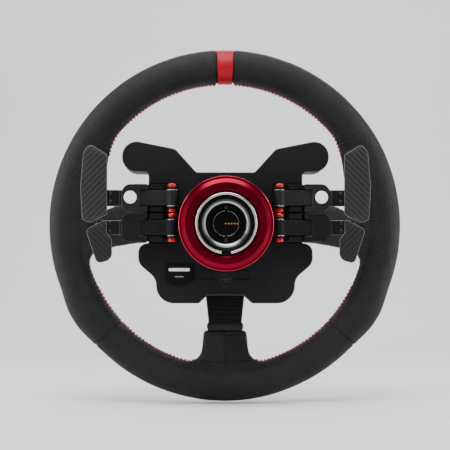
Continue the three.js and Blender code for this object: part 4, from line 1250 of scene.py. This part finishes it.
aux = [rod_y(0, -51.4, 6.7, 35.45, 37.3, 96)]
ax_o = solid("aux_port", aux[0], add=[plate(slot_poly(-3.4, 3.4, -60.7, -50, 0.7), 36.2, 37.3)], cut=[rod_y(0, -51.4, 4.5, 34, 36.7, 72)])
machined(ax_o, 0.3, 3, 35)
piece(ax_o, "wheel", M_PORT, ["aux_socket"])
ribs = [block(-4.0, 4.0, 35.7, 36.9, -51.4 + dz - 0.35, -51.4 + dz + 0.35) for dz in (-1.6, 0.9)]
ribs.append(rod_y(0, -51.4, 1.1, 35.9, 36.9, 28))
rb = new_object("aux_ribs", *merge(*ribs))
machined(rb, 0.15, 2, 40, clean=False)
piece(rb, "wheel", M_BASE)

# ------------------------------------------------------------------ paddle modules
HX, HY, BR = 49.4, 22.0, 5.2
SHIFT_BLADE = [(-125, 73.6, 5), (-108.8, 63.6, 3), (-108.8, 8.4, 3), (-125, 0.6, 6), (-131.6, 4, 3), (-133.4, 34, 20), (-130.6, 66, 4)]
CLUTCH_BLADE = [(-109, 4.6, 2), (-128.6, -5.2, 4.5), (-118, -36.6, 4.5), (-104.2, -32.8, 8), (-104.4, -14.4, 3), (-109, -8, 1.5)]


def module(kind, side):
    s = SIDE[side]
    zc = 23.7 if kind == "shift" else -3.5
    half = 12.5 if kind == "shift" else 13.1
    ext = 7.5 if kind == "shift" else 6.7
    body = f"{kind}_paddle_{side}"
    hx = s * HX

    def bx(x0, x1, y0, y1, z0, z1):
        return block(s * x0, s * x1, y0, y1, zc + z0, zc + z1)

    # base
    add = []
    for t in (-1, 1):
        lo, hi = (-12.6, -7.9) if t < 0 else (7.9, 12.6)
        add.append(prism_z([(s * 69.6, 32), (s * 69.6, 20.6), (s * 58.4, 20.6), (s * 55.8, 23.2), (s * 55.8, 32)], zc + lo, zc + hi))
        el, eh = (-9.8, -7.9) if t < 0 else (7.9, 9.8)
        add.append(bx(45, 53.8, HY, 32, el, eh))
        add.append(pin_z(hx, HY, 4.5, zc + el, zc + eh, 48))
    if kind == "shift":
        tongue = [(s * 70, zc - 12.6, 0.5), (s * 73.4, zc - 12.6, 0.8), (s * 73.6, zc - 10.4, 0.5), (s * 88.2, zc - 10.4, 6.4), (s * 88.2, zc + 10.4, 6.4), (s * 73.6, zc + 10.4, 0.5), (s * 73.4, zc + 12.6, 0.8), (s * 70, zc + 12.6, 0.5)]
        add.append(plate(tongue, 31.7, 33.0))
        add.append(rod_y(s * 85.5, zc + 0.4, 3.4, 31.45, 32.5, 48))
    base = solid(f"{kind}_base_body_{side}", bx(44.8, 71.4 if kind == "shift" else 73.4, 31.5, 36.9, -12.6, 12.6), add=add, cut=[pin_z(hx, HY, 2.4, zc - 15, zc + 15, 36)])
    machined(base, 0.7, 3, 35)
    piece(base, "wheel", M_BASE, [f"{kind}_base_{side}"])
    # pivot shaft with its red ends
    def cap(z0, z1):
        # a domed end cap along Z, from z0 (inner) to z1 (outer)
        d = 1 if z1 > z0 else -1
        prof = [(0, z0), (4.05, z0), (4.05, z1 - d * 0.8), (3.7, z1 - d * 0.25), (3.1, z1), (1.6, z1), (1.6, z1 - d * 1.3), (0, z1 - d * 1.3)]
        v, f = lathe(fillet(prof, [0.2, 0.3, 0.3, 0.3, 0.15, 0.15], 3), 40)
        return [(hx + a, HY + c, b) for a, b, c in v], f

    shaft = merge(cap(zc + 10.1, zc + 13.2), cap(zc - 10.1, zc - 13.2), pin_z(hx, HY, 2.0, zc - 10.2, zc + 10.2, 32))
    piece(new_object(f"{kind}_pivot_{side}", *shaft), "wheel", M_CAP_RED, [f"{kind}_pivot_shaft_{side}"], smooth=35)
    # arm
    head = [(s * 95.2, zc - half, 8.4), (s * 72, zc - half, 0.6), (s * 72, zc - 8, 0.4), (s * 79.3, zc - 8, 0.6), (s * 79.3, zc + 8, 0.6), (s * 72, zc + 8, 0.4), (s * 72, zc + half, 0.6), (s * 95.2, zc + half, 8.4)]
    cuts = [pin_z(hx, HY, 2.4, zc - 15, zc + 15, 36), bx(54.9, 55.8, 18, 20.4, -8, 8)]
    if kind == "shift":
        cuts.append(rod_y(s * 87.4, zc + 0.4, 6.15, 10, 18.2, 64))
    else:
        cuts.append(rod_y(s * 63, zc, 3.9, 24.2, 30, 48))
    arm = solid(f"{kind}_lever_{side}", plate(head, 16.6, 25, 0.0, 0.0, 10), add=[bx(51, 80, 19, 25, -6.7, 6.7), pin_z(hx, HY, BR, zc - 7.0, zc + 7.0, 64)], cut=cuts)
    machined(arm, 0.75, 3, 35)
    piece(arm, body, M_ARM if kind == "shift" else M_ARM_SHADED, [f"{kind}_arm_{side}"])
    rg = []
    for z0, z1 in ((zc + 7.05, zc + 7.65), (zc - 7.65, zc - 7.05)):
        v, f = lathe(fillet([(2.45, z0), (5.42, z0), (5.42, z1), (2.45, z1), (2.45, z0)], 0.12, 2)[:-1], 56)
        rg.append(([(hx + a, HY + c, b) for a, b, c in v], f))
    piece(new_object(f"{kind}_washers_{side}", *merge(*rg)), body, M_BRIGHT, smooth=35)
    if kind == "shift":
        c = lathe(fillet([(0, 17.9), (5.8, 17.9), (5.8, 16.2), (5.3, 15.95), (0, 15.75)], [0.1, 0.4, 0.6], 5), 72, s * 87.4, zc + 0.4)
        piece(new_object(f"magnet_cover_{side}", *c), body, M_WHITE, [f"shift_magnet_cap_{side}"], smooth=35)
    else:
        sp = new_object(f"clutch_coil_{side}", *helix(s * 63, zc, 3.2, 0.5, 25.25, 31.3, 3.5, 28))
        piece(sp, "wheel", M_DARK_STEEL, [f"clutch_spring_{side}"], smooth=60)
        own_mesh(sp)
    # extension plate with its screws
    e = solid(f"{kind}_slider_{side}", plate([(s * 77, zc - ext, 1), (s * 119, zc - ext, 2), (s * 119, zc + ext, 2), (s * 77, zc + ext, 1)], 25.3, 28, 0, 0, 6), cut=[block(s * 95.5, s * 97.3, 25, 26.7, zc - ext - 2, zc + ext + 2)])
    machined(e, 0.4, 3, 35)
    piece(e, body, M_SLIDER, [f"{kind}_extension_{side}"])
    es = []
    xs = 105.8 if kind == "shift" else 106.3
    for dz in (4.1, -3.5):
        prof = fillet([(0, 25.6), (1.75, 25.6), (1.75, 24.75), (1.3, 24.45), (0.85, 24.45), (0.85, 25.1), (0, 25.1)], [0.05, 0.2, 0.2, 0.08, 0.08], 3)
        es.append(lathe(prof, 28, s * xs, zc + dz))
    piece(new_object(f"{kind}_slider_screws_{side}", *merge(*es)), body, M_DARK_STEEL, smooth=35)
    # blade
    outline = SHIFT_BLADE if kind == "shift" else CLUTCH_BLADE
    outline = outline if s < 0 else flip_x(outline)
    bl = new_object(f"{kind}_paddle_blade_{side}", *plate(outline, 22.4, 25.0, 0.6, 0.3, 12))
    m = bl.modifiers.new("tri", "TRIANGULATE")
    m.min_vertices = 5
    apply_mods(bl)
    lean = (kind == "shift") == (s < 0)
    if kind == "shift":
        cloth = M_BLADE_A if lean else M_BLADE_B
    else:
        cloth = M_BLADE_C if lean else M_BLADE_D
    piece(bl, body, cloth, [f"{kind}_blade_{side}"], smooth=35)


for kind in ("shift", "clutch"):
    for side in ("left", "right"):
        module(kind, side)

# ------------------------------------------------------------------ carried-over CAD nodes
for node, mat in (("rim_armature", M_ALLOY), ("main_circuit_board", M_BOARD)):
    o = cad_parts[node]
    o.data.materials.clear()
    o.data.materials.append(mat)
    w = o.modifiers.new("weld", "WELD")
    w.merge_threshold = 0.00001
    b = o.modifiers.new("bevel", "BEVEL")
    b.width = 0.0004
    b.segments = 2
    b.limit_method = "ANGLE"
    b.angle_limit = math.radians(35)

# ------------------------------------------------------------------ stage
def sweep_floor():
    z0 = -0.1672
    prof = [(-1.25, z0), (0.9, z0)]
    for k in range(1, 17):
        g = math.pi / 2 * k / 16
        prof.append((0.9 + 0.9 * math.sin(g), z0 + 0.9 * (1 - math.cos(g))))
    prof.append((1.8, 3.2))
    verts, faces = [], []
    for y, z in prof:
        verts += [(-1.28, y, z), (1.28, y, z)]
    for i in range(len(prof) - 1):
        faces.append((2 * i, 2 * i + 1, 2 * i + 3, 2 * i + 2))
    me = bpy.data.meshes.new("studio_floor")
    me.from_pydata(verts, [], faces)
    o = bpy.data.objects.new("studio_floor", me)
    SCENE.collection.objects.link(o)
    me.polygons.foreach_set("use_smooth", np.ones(len(me.polygons), bool))
    m = Mat("floor_paper", Specular_IOR_Level=0.15)
    n1 = m.noise(1.3, 2, 0.5)
    m.set(Base_Color=m.mix(m.ramp(n1, 0, 1, 0.3, 0.7), (0.62, 0.63, 0.64), (0.66, 0.665, 0.67)), Roughness=m.ramp(n1, 0.7, 0.8, 0.3, 0.7))
    # the paper is seen from its own side only, so that it doesn't hide the wheel from a camera behind it,
    # and to the camera it melts away towards its edges
    def op(kind, a, b=None, **kw):
        nd = m.n("ShaderNodeMath", operation=kind)
        for i, v in enumerate((a, b)):
            if v is None:
                continue
            if isinstance(v, (int, float)):
                nd.inputs[i].default_value = v
            else:
                m.t.links.new(v, nd.inputs[i])
        return nd.outputs[0]

    def melt(v, lo, hi):
        nd = m.n("ShaderNodeMapRange", interpolation_type="SMOOTHSTEP")
        nd.inputs["From Min"].default_value = lo
        nd.inputs["From Max"].default_value = hi
        m.t.links.new(v, nd.inputs["Value"])
        return nd.outputs["Result"]

    where = m.n("ShaderNodeSeparateXYZ")
    m.t.links.new(m.n("ShaderNodeTexCoord").outputs["Object"], where.inputs[0])
    edge = op("MAXIMUM", melt(op("ABSOLUTE", where.outputs[0]), 0.6, 1.2), melt(op("MULTIPLY", where.outputs[1], -1.0), 0.5, 1.15))
    edge = op("MAXIMUM", edge, melt(where.outputs[2], 1.0, 2.6))
    edge = op("MULTIPLY", edge, m.n("ShaderNodeLightPath").outputs["Is Camera Ray"])
    clear = m.n("ShaderNodeBsdfTransparent")
    side = m.n("ShaderNodeMixShader")
    m.t.links.new(op("MAXIMUM", edge, m.n("ShaderNodeNewGeometry").outputs["Backfacing"]), side.inputs[0])
    m.t.links.new(m.p.outputs[0], side.inputs[1])
    m.t.links.new(clear.outputs[0], side.inputs[2])
    m.t.links.new(side.outputs[0], m.t.nodes["Material Output"].inputs["Surface"])
    me.materials.append(m.m)


sweep_floor()
